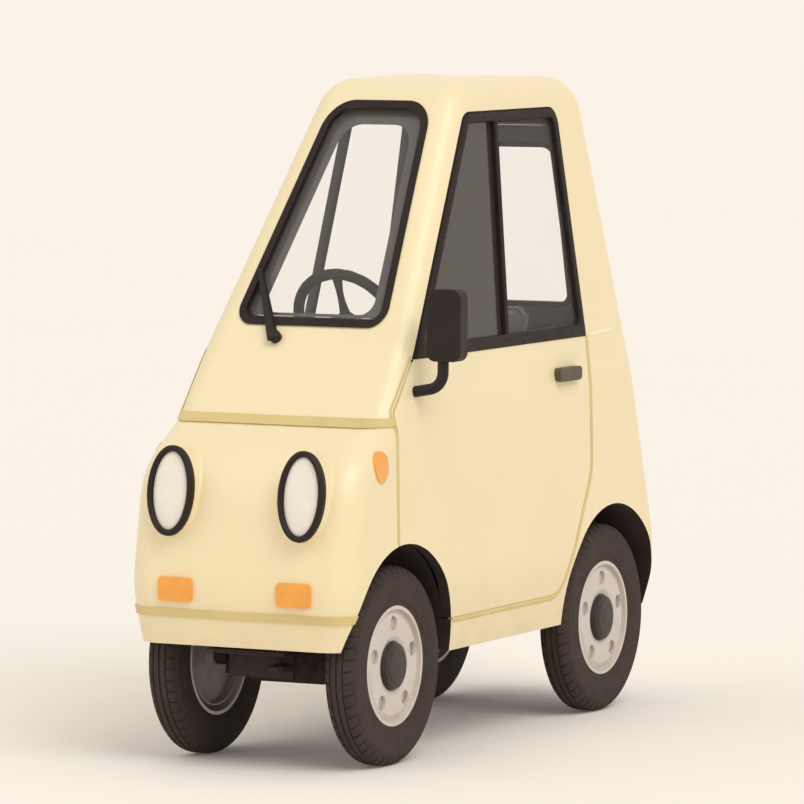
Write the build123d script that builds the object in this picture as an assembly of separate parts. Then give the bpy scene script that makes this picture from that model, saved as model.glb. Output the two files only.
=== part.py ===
from build123d import *
import math
import os

# Microcar, built as separate pieces, in millimetres.
# Frame: -Y is forward, +X is the car's left, +Z is up, the tyres stand on z = 0.

os.makedirs("parts", exist_ok=True)

# ---------------------------------------------------------------- driving dimensions
# running gear
tyre_diameter = 530
tyre_width = 90
rim_diameter = 330
track = 530
front_axle_y = -615
rear_axle_y = 665
steer_room = 105
rear_arch_inner = 184
front_tub_reach = 296
rear_tub_reach = 330
spindle_radius = 14
kingpin_radius = 9
kingpin_x = 185
running_fit = 0.05

# body skin
wall = 30
proud = 4
shut_gap = 6
seat_fit = 0.3
sill_z = 275
nose_bottom_z = 330
waist_z = 1072
cowl_z = 1110
arch_radius = 295
arch_rise = 30
liner_wall = 4
floor_thickness = 12

# The body seen from the side: columns are y, z and corner radius.
SIDE_PROFILE = [
    (-924, 275, 0),
    (-948, 480, 450),
    (-900, 800, 200),
    (-700, 925, 60),
    (-60, 1795, 150),
    (290, 1802, 2500),
    (700, 1788, 120),
    (812, 1085, 400),
    (1004, 400, 180),
    (980, 275, 0),
]
# The left half of the body seen from ahead: columns are x, z and corner radius.
HALF_PROFILE = [
    (312, 275, 0),
    (337, 480, 450),
    (331, 930, 700),
    (317, 1085, 200),
    (214, 1815, 0),
]
corner_round = 80

# names worked out from the sizes above
tyre_radius = tyre_diameter / 2
rim_radius = rim_diameter / 2
wheel_x = track / 2
axle_z = tyre_radius
arch_z = axle_z + arch_rise
floor_z = sill_z + wall
floor_top = floor_z + floor_thickness
far = 1500


# ---------------------------------------------------------------- helpers
def save(shape, name):
    """Write one piece to its own file, with the origin under the middle of the whole outline."""
    export_step(Pos(-outline_centre_x, -outline_centre_y, 0) * shape, f"parts/{name}.step")


def join(pieces):
    """Hold several solids of one piece together."""
    solids = []
    for piece in pieces:
        solids.extend(piece.solids())
    return Compound(children=solids)


def box_span(x_low, x_high, y_low, y_high, z_low, z_high):
    """A box given by its two limits along each axis."""
    centre = ((x_low + x_high) / 2, (y_low + y_high) / 2, (z_low + z_high) / 2)
    return Pos(*centre) * Box(x_high - x_low, y_high - y_low, z_high - z_low)


def side_prism(outline, x_low, x_high):
    """An outline drawn in side view, y to the right and z up, run across the car between two x."""
    plane = Plane(origin=(x_low, 0, 0), x_dir=(0, 1, 0), z_dir=(1, 0, 0))
    return extrude(plane * outline, x_high - x_low)


def front_prism(outline, y_low, y_high):
    """An outline drawn in front view, x to the right and z up, run along the car between two y."""
    plane = Plane(origin=(0, y_high, 0), x_dir=(1, 0, 0), z_dir=(0, -1, 0))
    return extrude(plane * outline, y_high - y_low)


def rounded(corners):
    """A closed outline of straight lines, each corner (across, up, radius) rounded by its own radius."""
    outline = make_face(Polyline(*[corner[:2] for corner in corners], close=True))
    for across, up, radius in corners:
        if radius:
            corner = outline.vertices().sort_by_distance((across, up, 0))[0]
            outline = fillet(corner, radius)
    return outline


def both_halves(half):
    """A front-view outline from its left half, mirrored to the right."""
    return half + [(-x, z, radius) for x, z, radius in reversed(half)]


def body_form(inset):
    """The closed form of the body, drawn in evenly all round: side view and front view, corners rounded."""
    side = rounded(SIDE_PROFILE)
    front = rounded(both_halves(HALF_PROFILE))
    if inset:
        side = offset(side, -inset, kind=Kind.INTERSECTION)
        front = offset(front, -inset, kind=Kind.INTERSECTION)
    form = side_prism(side, -far, far) & front_prism(front, -far, far)
    floor_z = SIDE_PROFILE[0][1] + inset
    within = offset(side, -1).faces()[0]
    corners = []
    for edge in form.edges():
        middle = edge.position_at(0.5)
        on_outline = not within.is_inside(Vector(middle.Y, middle.Z, 0))
        if on_outline and middle.Z > floor_z + 1 and abs(middle.X) > 1:
            corners.append(edge)
    return fillet(corners, corner_round - inset)


def left_and_right(piece):
    """A piece and its mirror image across the car's middle plane."""
    return [piece, mirror(piece, Plane.YZ)]


# ---------------------------------------------------------------- outline
# what reaches furthest: the mirror on the left, the door handle on the right, the headlamps and the tail
mirror_size = (100, 42, 190)
mirror_centre = (418, -540, 1166)
handle_reach_x = 347
headlamp_height = 240
headlamp_front_y = -950
headlamp_lean = 8

# ---------------------------------------------------------------- body skin
outer_form = body_form(0)
inner_form = body_form(wall)
proud_form = body_form(-proud)
headlamp_foot_y = headlamp_front_y - headlamp_height / 2 * math.sin(math.radians(headlamp_lean))
outline_centre_x = (mirror_centre[0] + mirror_size[0] / 2 - handle_reach_x) / 2
outline_centre_y = (headlamp_foot_y + outer_form.bounding_box().max.Y) / 2
open_floor = extrude(inner_form.faces().sort_by(Axis.Z)[0], 2 * wall, dir=(0, 0, -1))
skin = outer_form - inner_form - open_floor

# door and its window, in side view (y, z)
door_front_y = -650
door_bottom_z = 366
door_rear_y = 516
window_top_z = 1706
window_front_top_y = -58
window_rear_top_y = 500
window_rear_y = 510
frame_band = 24
frame_sill = 34
divider_width = 14

pillar_start = (-530, 1072)
door_corners = [
    (door_front_y, door_bottom_z, 0),
    (door_front_y, 935, 40),
    (pillar_start[0], waist_z, 0),
    (window_front_top_y, window_top_z, 45),
    (window_rear_top_y, window_top_z, 45),
    (window_rear_y, waist_z, 0),
    (door_rear_y, 700, 150),
    (335, door_bottom_z, 90),
]


def door_outline(grow):
    """The whole door in side view, grown evenly by the given gap."""
    outline = rounded(door_corners)
    if grow:
        outline = offset(outline, grow)
    return outline



# arches: the openings that the wheels stand in
def arch_space(axle_y, radius, x_low, x_high):
    """A round-topped space across the car over one wheel, open below."""
    round_top = Pos((x_low + x_high) / 2, axle_y, arch_z) * Rot(0, 90, 0) * Cylinder(radius, x_high - x_low)
    return round_top + box_span(x_low, x_high, axle_y - radius, axle_y + radius, 0, arch_z)


# how far in each pair of arches reaches, and how far out its tubs do, short of the doors
ARCHES = [(front_axle_y, steer_room, front_tub_reach), (rear_axle_y, rear_arch_inner, rear_tub_reach)]
arch_cuts = []
for axle_y, inner_x, tub_reach in ARCHES:
    arch_cuts += left_and_right(arch_space(axle_y, arch_radius, inner_x, far))

# tailgate, in front view (x, z)
gate_bottom_z = 560
gate_top_z = 1650
gate_bottom_half = 222
gate_top_half = 180
gate_split_y = 540
gate_corners = both_halves([(gate_bottom_half, gate_bottom_z, 50), (gate_top_half, gate_top_z, 60)])
rear_glass_bottom_z = 1130
rear_glass_edge = 46
rear_seal_band = 16


def gate_half(z):
    """Half the width of the tailgate at a height."""
    share = (z - gate_bottom_z) / (gate_top_z - gate_bottom_z)
    return gate_bottom_half + share * (gate_top_half - gate_bottom_half)


rear_glass_top_z = gate_top_z - rear_glass_edge
rear_glass_corners = both_halves(
    [
        (gate_half(rear_glass_bottom_z) - rear_glass_edge, rear_glass_bottom_z, 40),
        (gate_half(rear_glass_top_z) - rear_glass_edge, rear_glass_top_z, 50),
    ]
)

# windscreen, in front view (x, z)
screen_bottom_z = 1152
screen_top_z = 1742
screen_bottom_half = 230
screen_top_half = 152
screen_band = 20
screen_zone_rear_y = 200
screen_corners = both_halves(
    [(screen_bottom_half, screen_bottom_z, 48), (screen_top_half, screen_top_z, 84)]
)

door_hole = side_prism(door_outline(shut_gap), 0, far)
gate_hole = front_prism(offset(rounded(gate_corners), shut_gap), gate_split_y, far)
screen_outline = rounded(screen_corners)
screen_hole = front_prism(screen_outline, -far, screen_zone_rear_y)
nose_cut = box_span(-far, far, -far, front_axle_y, 0, nose_bottom_z)

fixed_skin = skin - arch_cuts - left_and_right(door_hole) - gate_hole - screen_hole - nose_cut

nose_rear_y = -400
above_cowl = box_span(-far, far, -far, far, cowl_z, far * 2)
nose_zone = box_span(-far, far, -far, nose_rear_y, 0, cowl_z)
side_zone = box_span(0, far, nose_rear_y, far, 0, cowl_z)
rear_zone = box_span(-gate_bottom_half, gate_bottom_half, gate_split_y, far, 0, gate_bottom_z)


plate_hole_spacing = 240
plate_hole_z = 430
plate_hole_radius = 4


def make_body_panels():
    """The fixed panels: nose with wings and cowl, roof with its pillars, two sides and the rear panel."""
    rear_panel = fixed_skin & rear_zone
    for x in (-plate_hole_spacing / 2, plate_hole_spacing / 2):
        hole = Rot(90, 0, 0) * Cylinder(plate_hole_radius, rear_axle_y)
        rear_panel -= Pos(x, rear_axle_y + arch_radius, plate_hole_z) * hole
    sides = (fixed_skin & side_zone) - rear_zone
    save(fixed_skin & nose_zone, "nose_panel")
    save((fixed_skin & above_cowl) + roof_hinges(), "roof_shell")
    save(sides, "side_panel_left")
    save(mirror(sides, Plane.YZ), "side_panel_right")
    save(rear_panel, "rear_panel")


# glass lies in the middle of the wall
glass_inset = 12
glass_thickness = 5
glass_layer = body_form(glass_inset) - body_form(glass_inset + glass_thickness)
seal_layer = proud_form - inner_form


def make_windscreen():
    """The curved windscreen and the thick rubber seal round it."""
    opening = offset(screen_outline, -screen_band)
    ring = screen_hole - front_prism(opening, -far, screen_zone_rear_y)
    save(seal_layer & ring & above_cowl, "windscreen_seal")
    pane = front_prism(offset(opening, -seat_fit), -far, screen_zone_rear_y)
    save(glass_layer & pane, "windscreen_glass")


# door window openings, in side view (y, z)
divider_bottom_y = 30
divider_top_y = -46
pane_corners = [
    (pillar_start[0], waist_z, 0),
    (window_front_top_y, window_top_z, 45),
    (window_rear_top_y, window_top_z, 45),
    (window_rear_y, waist_z, 0),
]


def pane_outline(inset):
    """The glazed area of a door, inside its black frame."""
    outline = offset(rounded(pane_corners), -inset)
    floor = waist_z + frame_sill + inset - frame_band
    return outline & Pos(0, floor + far / 2, 0) * Rectangle(far * 2, far)


def divider_zone(width):
    """The upright bar between the front and rear panes, in side view."""
    slope = (divider_top_y - divider_bottom_y) / (window_top_z - waist_z)
    low = waist_z - 100
    high = window_top_z + 100
    bar = Polyline(
        (divider_bottom_y + slope * (low - waist_z) - width / 2, low),
        (divider_bottom_y + slope * (low - waist_z) + width / 2, low),
        (divider_bottom_y + slope * (high - waist_z) + width / 2, high),
        (divider_bottom_y + slope * (high - waist_z) - width / 2, high),
        close=True,
    )
    return make_face(bar)


handle_y = (296, 432)
handle_z = 976
handle_height = 38
handle_corner = 14


def make_doors():
    """Left and right doors: panel, black window frame, two panes and handle. The left one has the mirror."""
    whole = side_prism(door_outline(0), 0, far) - arch_space(front_axle_y, arch_radius, 0, far)
    below = box_span(0, far, -far, far, 0, waist_z)
    above = box_span(0, far, -far, far, waist_z, far * 2)
    panel = skin & whole & below
    glazing = side_prism(pane_outline(frame_band) - divider_zone(divider_width), 0, far)
    frame = (seal_layer & whole & above) - glazing
    pane_area = side_prism(
        pane_outline(frame_band + seat_fit) - divider_zone(divider_width + 2 * seat_fit), 0, far
    )
    panes = glass_layer & pane_area
    grip_outline = Pos(sum(handle_y) / 2, handle_z) * RectangleRounded(
        handle_y[1] - handle_y[0], handle_height, handle_corner
    )
    grip = side_prism(grip_outline, wheel_x, handle_reach_x) - outer_form
    for side, pieces in (
        ("left", [panel, frame, panes, grip]),
        ("right", [mirror(piece, Plane.YZ) for piece in (panel, frame, panes, grip)]),
    ):
        for name, piece in zip(("door_panel", "window_frame", "door_glass", "door_handle"), pieces):
            save(piece, f"{name}_{side}")


mirror_round = 24
arm_radius = 15
arm_foot = (308, -545, 985)
arm_bend = (408, -545, 1003)
arm_bend_radius = 46


def make_mirror():
    """The tall door mirror on its bent arm, on the left door only."""
    head = Pos(*mirror_centre) * fillet(Box(*mirror_size).edges().filter_by(Axis.Y), mirror_round)
    path = FilletPolyline(arm_foot, arm_bend, (arm_bend[0], *mirror_centre[1:]), radius=arm_bend_radius)
    arm = sweep(Plane(origin=path @ 0, z_dir=path % 0) * Circle(arm_radius), path)
    save((head + arm) - outer_form, "door_mirror")


hinge_x = 110
hinge_y = 733
hinge_z = 1653
hinge_barrel_radius = 7
hinge_pin_radius = 3.5
hinge_leaf = 8
hinge_leaf_reach = 28
hinge_half_gate = 12.5
hinge_half_all = 32
hinge_side_gap = 0.5


def hinge_barrel(x_low, x_high, leaf_low, leaf_high):
    """One round knuckle of a tailgate hinge, with the leaf that ties it to its panel."""
    barrel = Pos((x_low + x_high) / 2, hinge_y, hinge_z) * Rot(0, 90, 0) * Cylinder(
        hinge_barrel_radius, x_high - x_low
    )
    return barrel + box_span(x_low, x_high, hinge_y - hinge_leaf_reach, hinge_y, leaf_low, leaf_high)


def roof_hinges():
    """The fixed knuckles and pins over the tailgate."""
    pieces = []
    ear_low = hinge_z + shut_gap / 2
    for x in (-hinge_x, hinge_x):
        inner = hinge_half_gate + hinge_side_gap
        pieces.append(hinge_barrel(x - hinge_half_all, x - inner, ear_low, ear_low + hinge_leaf))
        pieces.append(hinge_barrel(x + inner, x + hinge_half_all, ear_low, ear_low + hinge_leaf))
        pin = Rot(0, 90, 0) * Cylinder(hinge_pin_radius, 2 * hinge_half_all)
        pieces.append(Pos(x, hinge_y, hinge_z) * pin)
    return pieces


def gate_hinges(panel):
    """Join the tailgate's own knuckles to its panel and bore them for the pins."""
    leaf_high = gate_top_z
    for x in (-hinge_x, hinge_x):
        panel += hinge_barrel(x - hinge_half_gate, x + hinge_half_gate, leaf_high - hinge_leaf, leaf_high)
        panel -= Pos(x, hinge_y, hinge_z) * Rot(0, 90, 0) * Cylinder(
            hinge_pin_radius + running_fit, 2 * hinge_half_all
        )
    return panel


def make_tailgate():
    """The tailgate, its window and the seal round it."""
    gate = front_prism(rounded(gate_corners), gate_split_y, far)
    window = rounded(rear_glass_corners)
    opening = offset(window, -rear_seal_band)
    panel = (skin & gate) - front_prism(window, gate_split_y, far)
    save(gate_hinges(panel), "tailgate_panel")
    ring = front_prism(window, gate_split_y, far) - front_prism(opening, gate_split_y, far)
    save(seal_layer & ring, "rear_window_seal")
    save(glass_layer & front_prism(offset(opening, -seat_fit), gate_split_y, far), "rear_window_glass")


strip_height = 22
bonnet_strip_z = 915
bumper_strip_z = 415
strip_proud = 4
bumper_strip_end_y = -870


def make_trim():
    """Two narrow strips that cross the nose, one under the cowl and one over the bumper."""
    layer = body_form(-strip_proud) - outer_form
    strips = []
    for z, y_end in ((bonnet_strip_z, door_front_y), (bumper_strip_z, bumper_strip_end_y)):
        zone = box_span(-far, far, -far, y_end - shut_gap, z - strip_height / 2, z + strip_height / 2)
        strips.append(layer & (zone - arch_cuts))
    save(join(strips), "nose_strips")


# lamps
headlamp_x = 195
headlamp_z = 738
headlamp_width = 136
headlamp_rim = 17
headlamp_recess = 14
lens_thickness = 8
lamp_corner = 12
indicator_x = 176
indicator_z = 478
indicator_size = (100, 64)
indicator_proud = 10
repeater_y = -752
repeater_z = 804
repeater_size = (70, 84)
tail_lamp_x = (228, 304)
tail_lamp_z = (650, 830)


def make_lamps():
    """Oval headlamps, amber indicators and side repeaters, and red tail lamps."""
    bezels = []
    lenses = []
    ambers = []
    reds = []
    rim = Ellipse(headlamp_width / 2, headlamp_height / 2)
    mouth = Ellipse(headlamp_width / 2 - headlamp_rim, headlamp_height / 2 - headlamp_rim)
    lamp_axis = (0, math.cos(math.radians(headlamp_lean)), -math.sin(math.radians(headlamp_lean)))
    for x in (-headlamp_x, headlamp_x):
        at = Plane(origin=(x, headlamp_front_y, headlamp_z), x_dir=(1, 0, 0), z_dir=lamp_axis)
        housing = extrude(at * rim, headlamp_height) - outer_form
        hole = extrude(at * mouth, headlamp_recess + lens_thickness)
        bezels.append(housing - hole)
        lens_at = at.offset(headlamp_recess)
        lenses.append(extrude(lens_at * mouth, lens_thickness) - outer_form)
        plate = RectangleRounded(*indicator_size, lamp_corner)
        amber = front_prism(Pos(x / headlamp_x * indicator_x, indicator_z) * plate, -far, front_axle_y)
        ambers.append(amber & (body_form(-indicator_proud) - outer_form))
    save(join(bezels), "headlamp_bezels")
    save(join(lenses), "headlamp_lenses")
    repeater_outline = Pos(repeater_y, repeater_z) * Ellipse(repeater_size[0] / 2, repeater_size[1] / 2)
    repeater = side_prism(repeater_outline, 0, far) & (proud_form - outer_form)
    save(join(ambers + left_and_right(repeater)), "amber_lamps")
    tail_outline = Pos(sum(tail_lamp_x) / 2, sum(tail_lamp_z) / 2) * RectangleRounded(
        tail_lamp_x[1] - tail_lamp_x[0], tail_lamp_z[1] - tail_lamp_z[0], 2 * lamp_corner
    )
    lamp = front_prism(tail_outline, gate_split_y, far) & (body_form(-indicator_proud) - outer_form)
    save(join(left_and_right(lamp)), "tail_lamps")


wiper_base = (-84, 1112)
wiper_tip = (-194, 1292)
wiper_base_half = 14
wiper_tip_half = 5
wiper_thickness = 12


def make_wiper():
    """The short tapered wiper, lying on the lower corner of the windscreen."""
    outline = Polyline(
        (wiper_base[0] - wiper_base_half, wiper_base[1]),
        (wiper_base[0] + wiper_base_half, wiper_base[1]),
        (wiper_tip[0] + wiper_tip_half, wiper_tip[1]),
        (wiper_tip[0] - wiper_tip_half, wiper_tip[1]),
        close=True,
    )
    layer = body_form(-proud - wiper_thickness) - proud_form
    save(front_prism(make_face(outline), -far, 0) & layer, "wiper")


# ---------------------------------------------------------------- cabin
dash_top_z = 1112
dash_bottom_z = 930
dash_rear_y = -470
dash_half = 246
wheel_centre = (0, -310, 1150)
column_lean = 25
steering_radius = 150
steering_rim = 11
column_radius = 24
shaft_radius = 10
seat_half = 165
seat_y = (-20, 330)
base_top_z = 520
cushion_thickness = 90
back_lean = 12
back_height = 665
back_thickness = 90
back_round = 30
back_gap = 5.3


nose_limit_y = -870
# towing eyes under the floor: flat tabs with an upright hole, columns are y and the inboard direction
rail_x = 85
rail_width = 40
rail_depth = 40
rail_y = (-520, 600)
apron_half = 96
apron_y = -800
apron_bottom_z = 238
tow_eye_x = 70
tow_eye_places = [(-835, 1), (870, -1)]
tow_eye_z = 269
tow_eye_radius = 12
tow_eye_width = 48
tow_eye_thickness = 12


def make_cabin():
    """Floor, dashboard, steering column and the single seat."""
    plan = inner_form & box_span(-far, far, -far, far, floor_z, floor_z + floor_thickness)
    plan = plan & box_span(-far, far, nose_limit_y, far, 0, far)
    plan = plan - arch_cuts
    rail_bottom_z = floor_z - rail_depth
    rails = [
        box_span(x - rail_width / 2, x + rail_width / 2, *rail_y, rail_bottom_z, floor_z)
        for x in (-rail_x, rail_x)
    ]
    cross_half = rail_x + rail_width / 2
    cross = box_span(-cross_half, cross_half, rail_y[0] - rail_width, rail_y[0], rail_bottom_z, floor_z)
    apron = box_span(-apron_half, apron_half, apron_y, apron_y + floor_thickness, apron_bottom_z, floor_z)
    eyes = []
    for y, inboard in tow_eye_places:
        tab = Pos(tow_eye_x, y, tow_eye_z) * (
            Cylinder(tow_eye_width / 2, tow_eye_thickness)
            + Pos(0, inboard * tow_eye_width / 2, 0) * Box(tow_eye_width, tow_eye_width, tow_eye_thickness)
        )
        web_height = floor_z - tow_eye_z + tow_eye_thickness / 2
        web_y = y + inboard * (tow_eye_width - tow_eye_thickness / 2)
        web = Pos(tow_eye_x, web_y, floor_z - web_height / 2) * Box(
            tow_eye_width, tow_eye_thickness, web_height
        )
        bore = Pos(tow_eye_x, y, tow_eye_z) * Cylinder(tow_eye_radius, 2 * tow_eye_thickness)
        eyes.append(tab + web - bore)
    save(plan + rails + [cross, apron] + eyes, "floor_pan")

    dash = box_span(-far, far, -far, dash_rear_y, dash_bottom_z, dash_top_z) & body_form(wall + seat_fit)
    dash = dash & box_span(-dash_half, dash_half, -far, far, 0, far)
    save(dash - arch_cuts, "dashboard")



def tilted(point, lean):
    """A plane whose normal points to the driver and up from a point, at the column's angle."""
    normal = (0, math.cos(math.radians(lean)), math.sin(math.radians(lean)))
    return Plane(origin=point, x_dir=(1, 0, 0), z_dir=normal)


hub_size = (32, 26)
spoke_size = (20, 10)
spoke_angles = (0, 180, 270)
shaft_length = 110
tube_top = -20
tube_length = 230
bore_end = -150


def make_steering():
    """The steering wheel on its shaft, and the column tube that the shaft turns in."""
    plane = tilted(wheel_centre, column_lean)
    rim = Torus(steering_radius, steering_rim)
    hub = Cylinder(*hub_size)
    spoke = Pos(steering_radius / 2, 0, 0) * Box(steering_radius - 2, *spoke_size)
    spokes = [Rot(0, 0, angle) * spoke for angle in spoke_angles]
    shaft = Pos(0, 0, -shaft_length / 2) * Cylinder(shaft_radius, shaft_length)
    save(plane * (rim + hub + spokes + shaft), "steering_wheel")
    tube = Pos(0, 0, tube_top - tube_length / 2) * Cylinder(column_radius, tube_length)
    bore = Pos(0, 0, bore_end / 2) * Cylinder(shaft_radius + running_fit, -bore_end)
    ahead = box_span(-far, far, -far, dash_rear_y, 0, far)
    save(plane * (tube - bore) - ahead, "steering_column")


base_half = 150
base_y = (0, 440)
cushion_round = 22


def make_seat():
    """Seat pedestal, cushion and leaning back."""
    save(box_span(-base_half, base_half, *base_y, floor_top, base_top_z), "seat_base")
    cushion_low = base_top_z + seat_fit
    cushion = box_span(-seat_half, seat_half, *seat_y, cushion_low, cushion_low + cushion_thickness)
    save(fillet(cushion.edges(), cushion_round), "seat_cushion")
    back = fillet(Box(2 * seat_half, back_thickness, back_height).edges(), back_round)
    lean = math.radians(back_lean)
    reach_up = back_height / 2 - back_round
    reach_on = back_thickness / 2 - back_round
    foot_z = base_top_z + seat_fit + reach_up * math.cos(lean) + reach_on * math.sin(lean) + back_round
    foot_y = seat_y[1] + back_gap + reach_up * math.sin(lean) + reach_on * math.cos(lean) + back_round
    save(Pos(0, foot_y, foot_z) * Rot(-back_lean, 0, 0) * back, "seat_back")


# ---------------------------------------------------------------- running gear
hub_radius = 30
hub_length = 60
drum_radius = 136
drum_depth = 8
drum_wall = 6
rim_lip = 12
rim_seat = 2
shoulder = 26
shoulder_drop = 7
sidewall_drop = 30
bolt_circle = 113
hole_radius = 20
hole_count = 5
kingpin_height = 110
knuckle_height = 60
lug_gap = 1
stub_end = wheel_x + 36
bead_width = 8


def place_wheel(piece, x, y):
    """Stand a wheel piece, drawn about the X axis with its outer face towards +X, at an axle end."""
    turned = piece if x > 0 else mirror(piece, Plane.YZ)
    return Pos(x, y, axle_z) * turned


def wheel_profile():
    """The pressed wheel in section, x along the axle and y outwards: rim barrel, dished disc, hub and cap."""
    half = tyre_width / 2 - bead_width
    face = half - 4
    points = [
        (-hub_length / 2, spindle_radius + running_fit),
        (-hub_length / 2, hub_radius),
        (-drum_depth, hub_radius),
        (-drum_depth, drum_radius - drum_wall),
        (-hub_length / 2, drum_radius - drum_wall),
        (-hub_length / 2, drum_radius),
        (drum_wall - drum_depth, drum_radius),
        (drum_wall - drum_depth, hub_radius),
        (face - 22, hub_radius),
        (face - 18, 62),
        (face - 8, 84),
        (face - 8, 124),
        (face - 16, 140),
        (face - 16, rim_radius - rim_seat - rim_lip),
        (-half, rim_radius - rim_seat - rim_lip),
        (-half, rim_radius - rim_seat),
        (half, rim_radius - rim_seat),
        (half, rim_radius - rim_seat - rim_lip),
        (face - 8, rim_radius - rim_seat - rim_lip),
        (face - 8, 146),
        (face, 130),
        (face, 80),
        (face - 6, 64),
        (face + 8, 60),
        (face + 14, 44),
        (face + 16, 0),
        (face + 6, 0),
        (face + 6, spindle_radius + running_fit),
    ]
    return make_face(Polyline(*points, close=True))


def make_wheels():
    """Four tyres and four pressed wheels with five round holes and a dark cap."""
    disc = revolve(Plane.XY * wheel_profile(), Axis.X)
    hole = Pos(0, 0, bolt_circle) * Rot(0, 90, 0) * Cylinder(hole_radius, tyre_width)
    for n in range(hole_count):
        disc = disc - Pos(tyre_width / 2, 0, 0) * Rot(360 / hole_count * n, 0, 0) * hole
    half = tyre_width / 2
    outside = [
        (half - shoulder, tyre_radius),
        (half - shoulder / 2 + 1, tyre_radius - shoulder_drop),
        (half, tyre_radius - sidewall_drop),
        (half, rim_radius + sidewall_drop),
        (half - bead_width, rim_radius),
        (half - bead_width, rim_radius - rim_seat),
    ]
    inside = [(-x, radius) for x, radius in reversed(outside)]
    tread = make_face(Polyline(*inside, *outside, close=True))
    tyre = revolve(Plane.XY * tread, Axis.X)
    for end, y in (("front", front_axle_y), ("rear", rear_axle_y)):
        for side, x in (("left", wheel_x), ("right", -wheel_x)):
            save(place_wheel(disc, x, y), f"wheel_{end}_{side}")
            save(place_wheel(tyre, x, y), f"tyre_{end}_{side}")


beam_radius = 20
fork_reach = 42
beam_half = kingpin_x - fork_reach + 2
fork_thickness = 15
lug_reach = 16
lug_thickness = 14
front_seat_x = 70
rear_seat_x = 120
seat_width = 40
seat_length = 60
flange_radius = 24
flange_span = (10, 46)
tube_gap = 6


def make_front_axle():
    """The front beam with its two mounts, and a fork with a kingpin at each end."""
    pieces = [Pos(0, front_axle_y, axle_z) * Rot(0, 90, 0) * Cylinder(beam_radius, 2 * beam_half)]
    for x in (-front_seat_x, front_seat_x):
        y_span = (front_axle_y - seat_length / 2, front_axle_y + seat_length / 2)
        pieces.append(box_span(x - seat_width / 2, x + seat_width / 2, *y_span, axle_z, floor_z))
    fork_low = knuckle_height / 2 + lug_gap
    fork_half = fork_low + lug_thickness
    fork = box_span(-fork_reach, fork_thickness - fork_reach, -22, 22, -fork_half, fork_half)
    for low in (-fork_half, fork_low):
        fork += box_span(-fork_reach, lug_reach, -lug_reach, lug_reach, low, low + lug_thickness)
    fork += Cylinder(kingpin_radius, kingpin_height)
    pieces += left_and_right(Pos(kingpin_x, front_axle_y, axle_z) * fork)
    save(Part() + pieces, "front_axle")


def make_knuckles():
    """The two steered knuckles: a block bored for the kingpin, a flange and a stub for the wheel."""
    block = Pos(kingpin_x, 0, 0) * Cylinder(beam_radius, knuckle_height)
    flange_low, flange_high = (kingpin_x + reach for reach in flange_span)
    flange_middle = (flange_low + flange_high) / 2
    flange = Pos(flange_middle, 0, 0) * Rot(0, 90, 0) * Cylinder(flange_radius, flange_high - flange_low)
    stub_middle = (kingpin_x + stub_end) / 2
    stub = Pos(stub_middle, 0, 0) * Rot(0, 90, 0) * Cylinder(spindle_radius, stub_end - kingpin_x)
    bore = Pos(kingpin_x, 0, 0) * Cylinder(kingpin_radius + running_fit, 2 * knuckle_height)
    knuckle = Pos(0, front_axle_y, axle_z) * (block + flange + stub - bore)
    for side, piece in zip(("left", "right"), left_and_right(knuckle)):
        save(piece, f"knuckle_{side}")


def make_rear_axle():
    """The rear tube with its two mounts and the stubs for the wheels."""
    tube_half = wheel_x - hub_length / 2 - tube_gap
    axle = Rot(0, 90, 0) * (Cylinder(flange_radius, 2 * tube_half) + Cylinder(spindle_radius, 2 * stub_end))
    pieces = [Pos(0, rear_axle_y, axle_z) * axle]
    for x in (-rear_seat_x, rear_seat_x):
        y_span = (rear_axle_y - seat_length / 2, rear_axle_y + seat_length / 2)
        pieces.append(box_span(x - seat_width / 2, x + seat_width / 2, *y_span, axle_z, floor_z))
    save(Part() + pieces, "rear_axle")


def make_liners():
    """Four tubs between the wheels and the cabin, open below and outside."""
    liners = []
    for axle_y, inner, reach in ARCHES:
        space = arch_space(axle_y, arch_radius, inner, reach)
        tub = arch_space(axle_y, arch_radius + liner_wall, inner - liner_wall, reach) - space
        tub = tub & body_form(wall + seat_fit)
        tub = tub - box_span(-far, far, -far, far, 0, floor_top)
        liners += left_and_right(tub)
    save(join(liners), "wheel_tubs")


engine_half = 150
engine_y = (560, 830)
engine_height = 240


def make_engine():
    """The engine and gearbox as one plain block on the floor behind the seat."""
    save(box_span(-engine_half, engine_half, *engine_y, floor_top, floor_top + engine_height), "engine_block")


make_body_panels()
make_windscreen()
make_doors()
make_mirror()
make_tailgate()
make_trim()
make_lamps()
make_wiper()
make_cabin()
make_steering()
make_seat()
make_wheels()
make_front_axle()
make_knuckles()
make_rear_axle()
make_liners()
make_engine()
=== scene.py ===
# %% [markdown]
# # A tall, narrow, one-seat microcar
#
# This lesson dresses a finished CAD model of a small cabin car. The CAD solids
# are loaded first and never moved: they are the body panels, doors, glass and
# running gear. Blender then adds what a solid model leaves plain, such as
# paint, rubber, tyre tread and stuffed cushions.
#
# Everything is in metres. The car faces -Y, its left side is +X, and the tyres
# stand on z = 0.

import math

import bmesh
import bpy
from mathutils import Matrix, Vector
from mathutils.bvhtree import BVHTree


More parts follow.
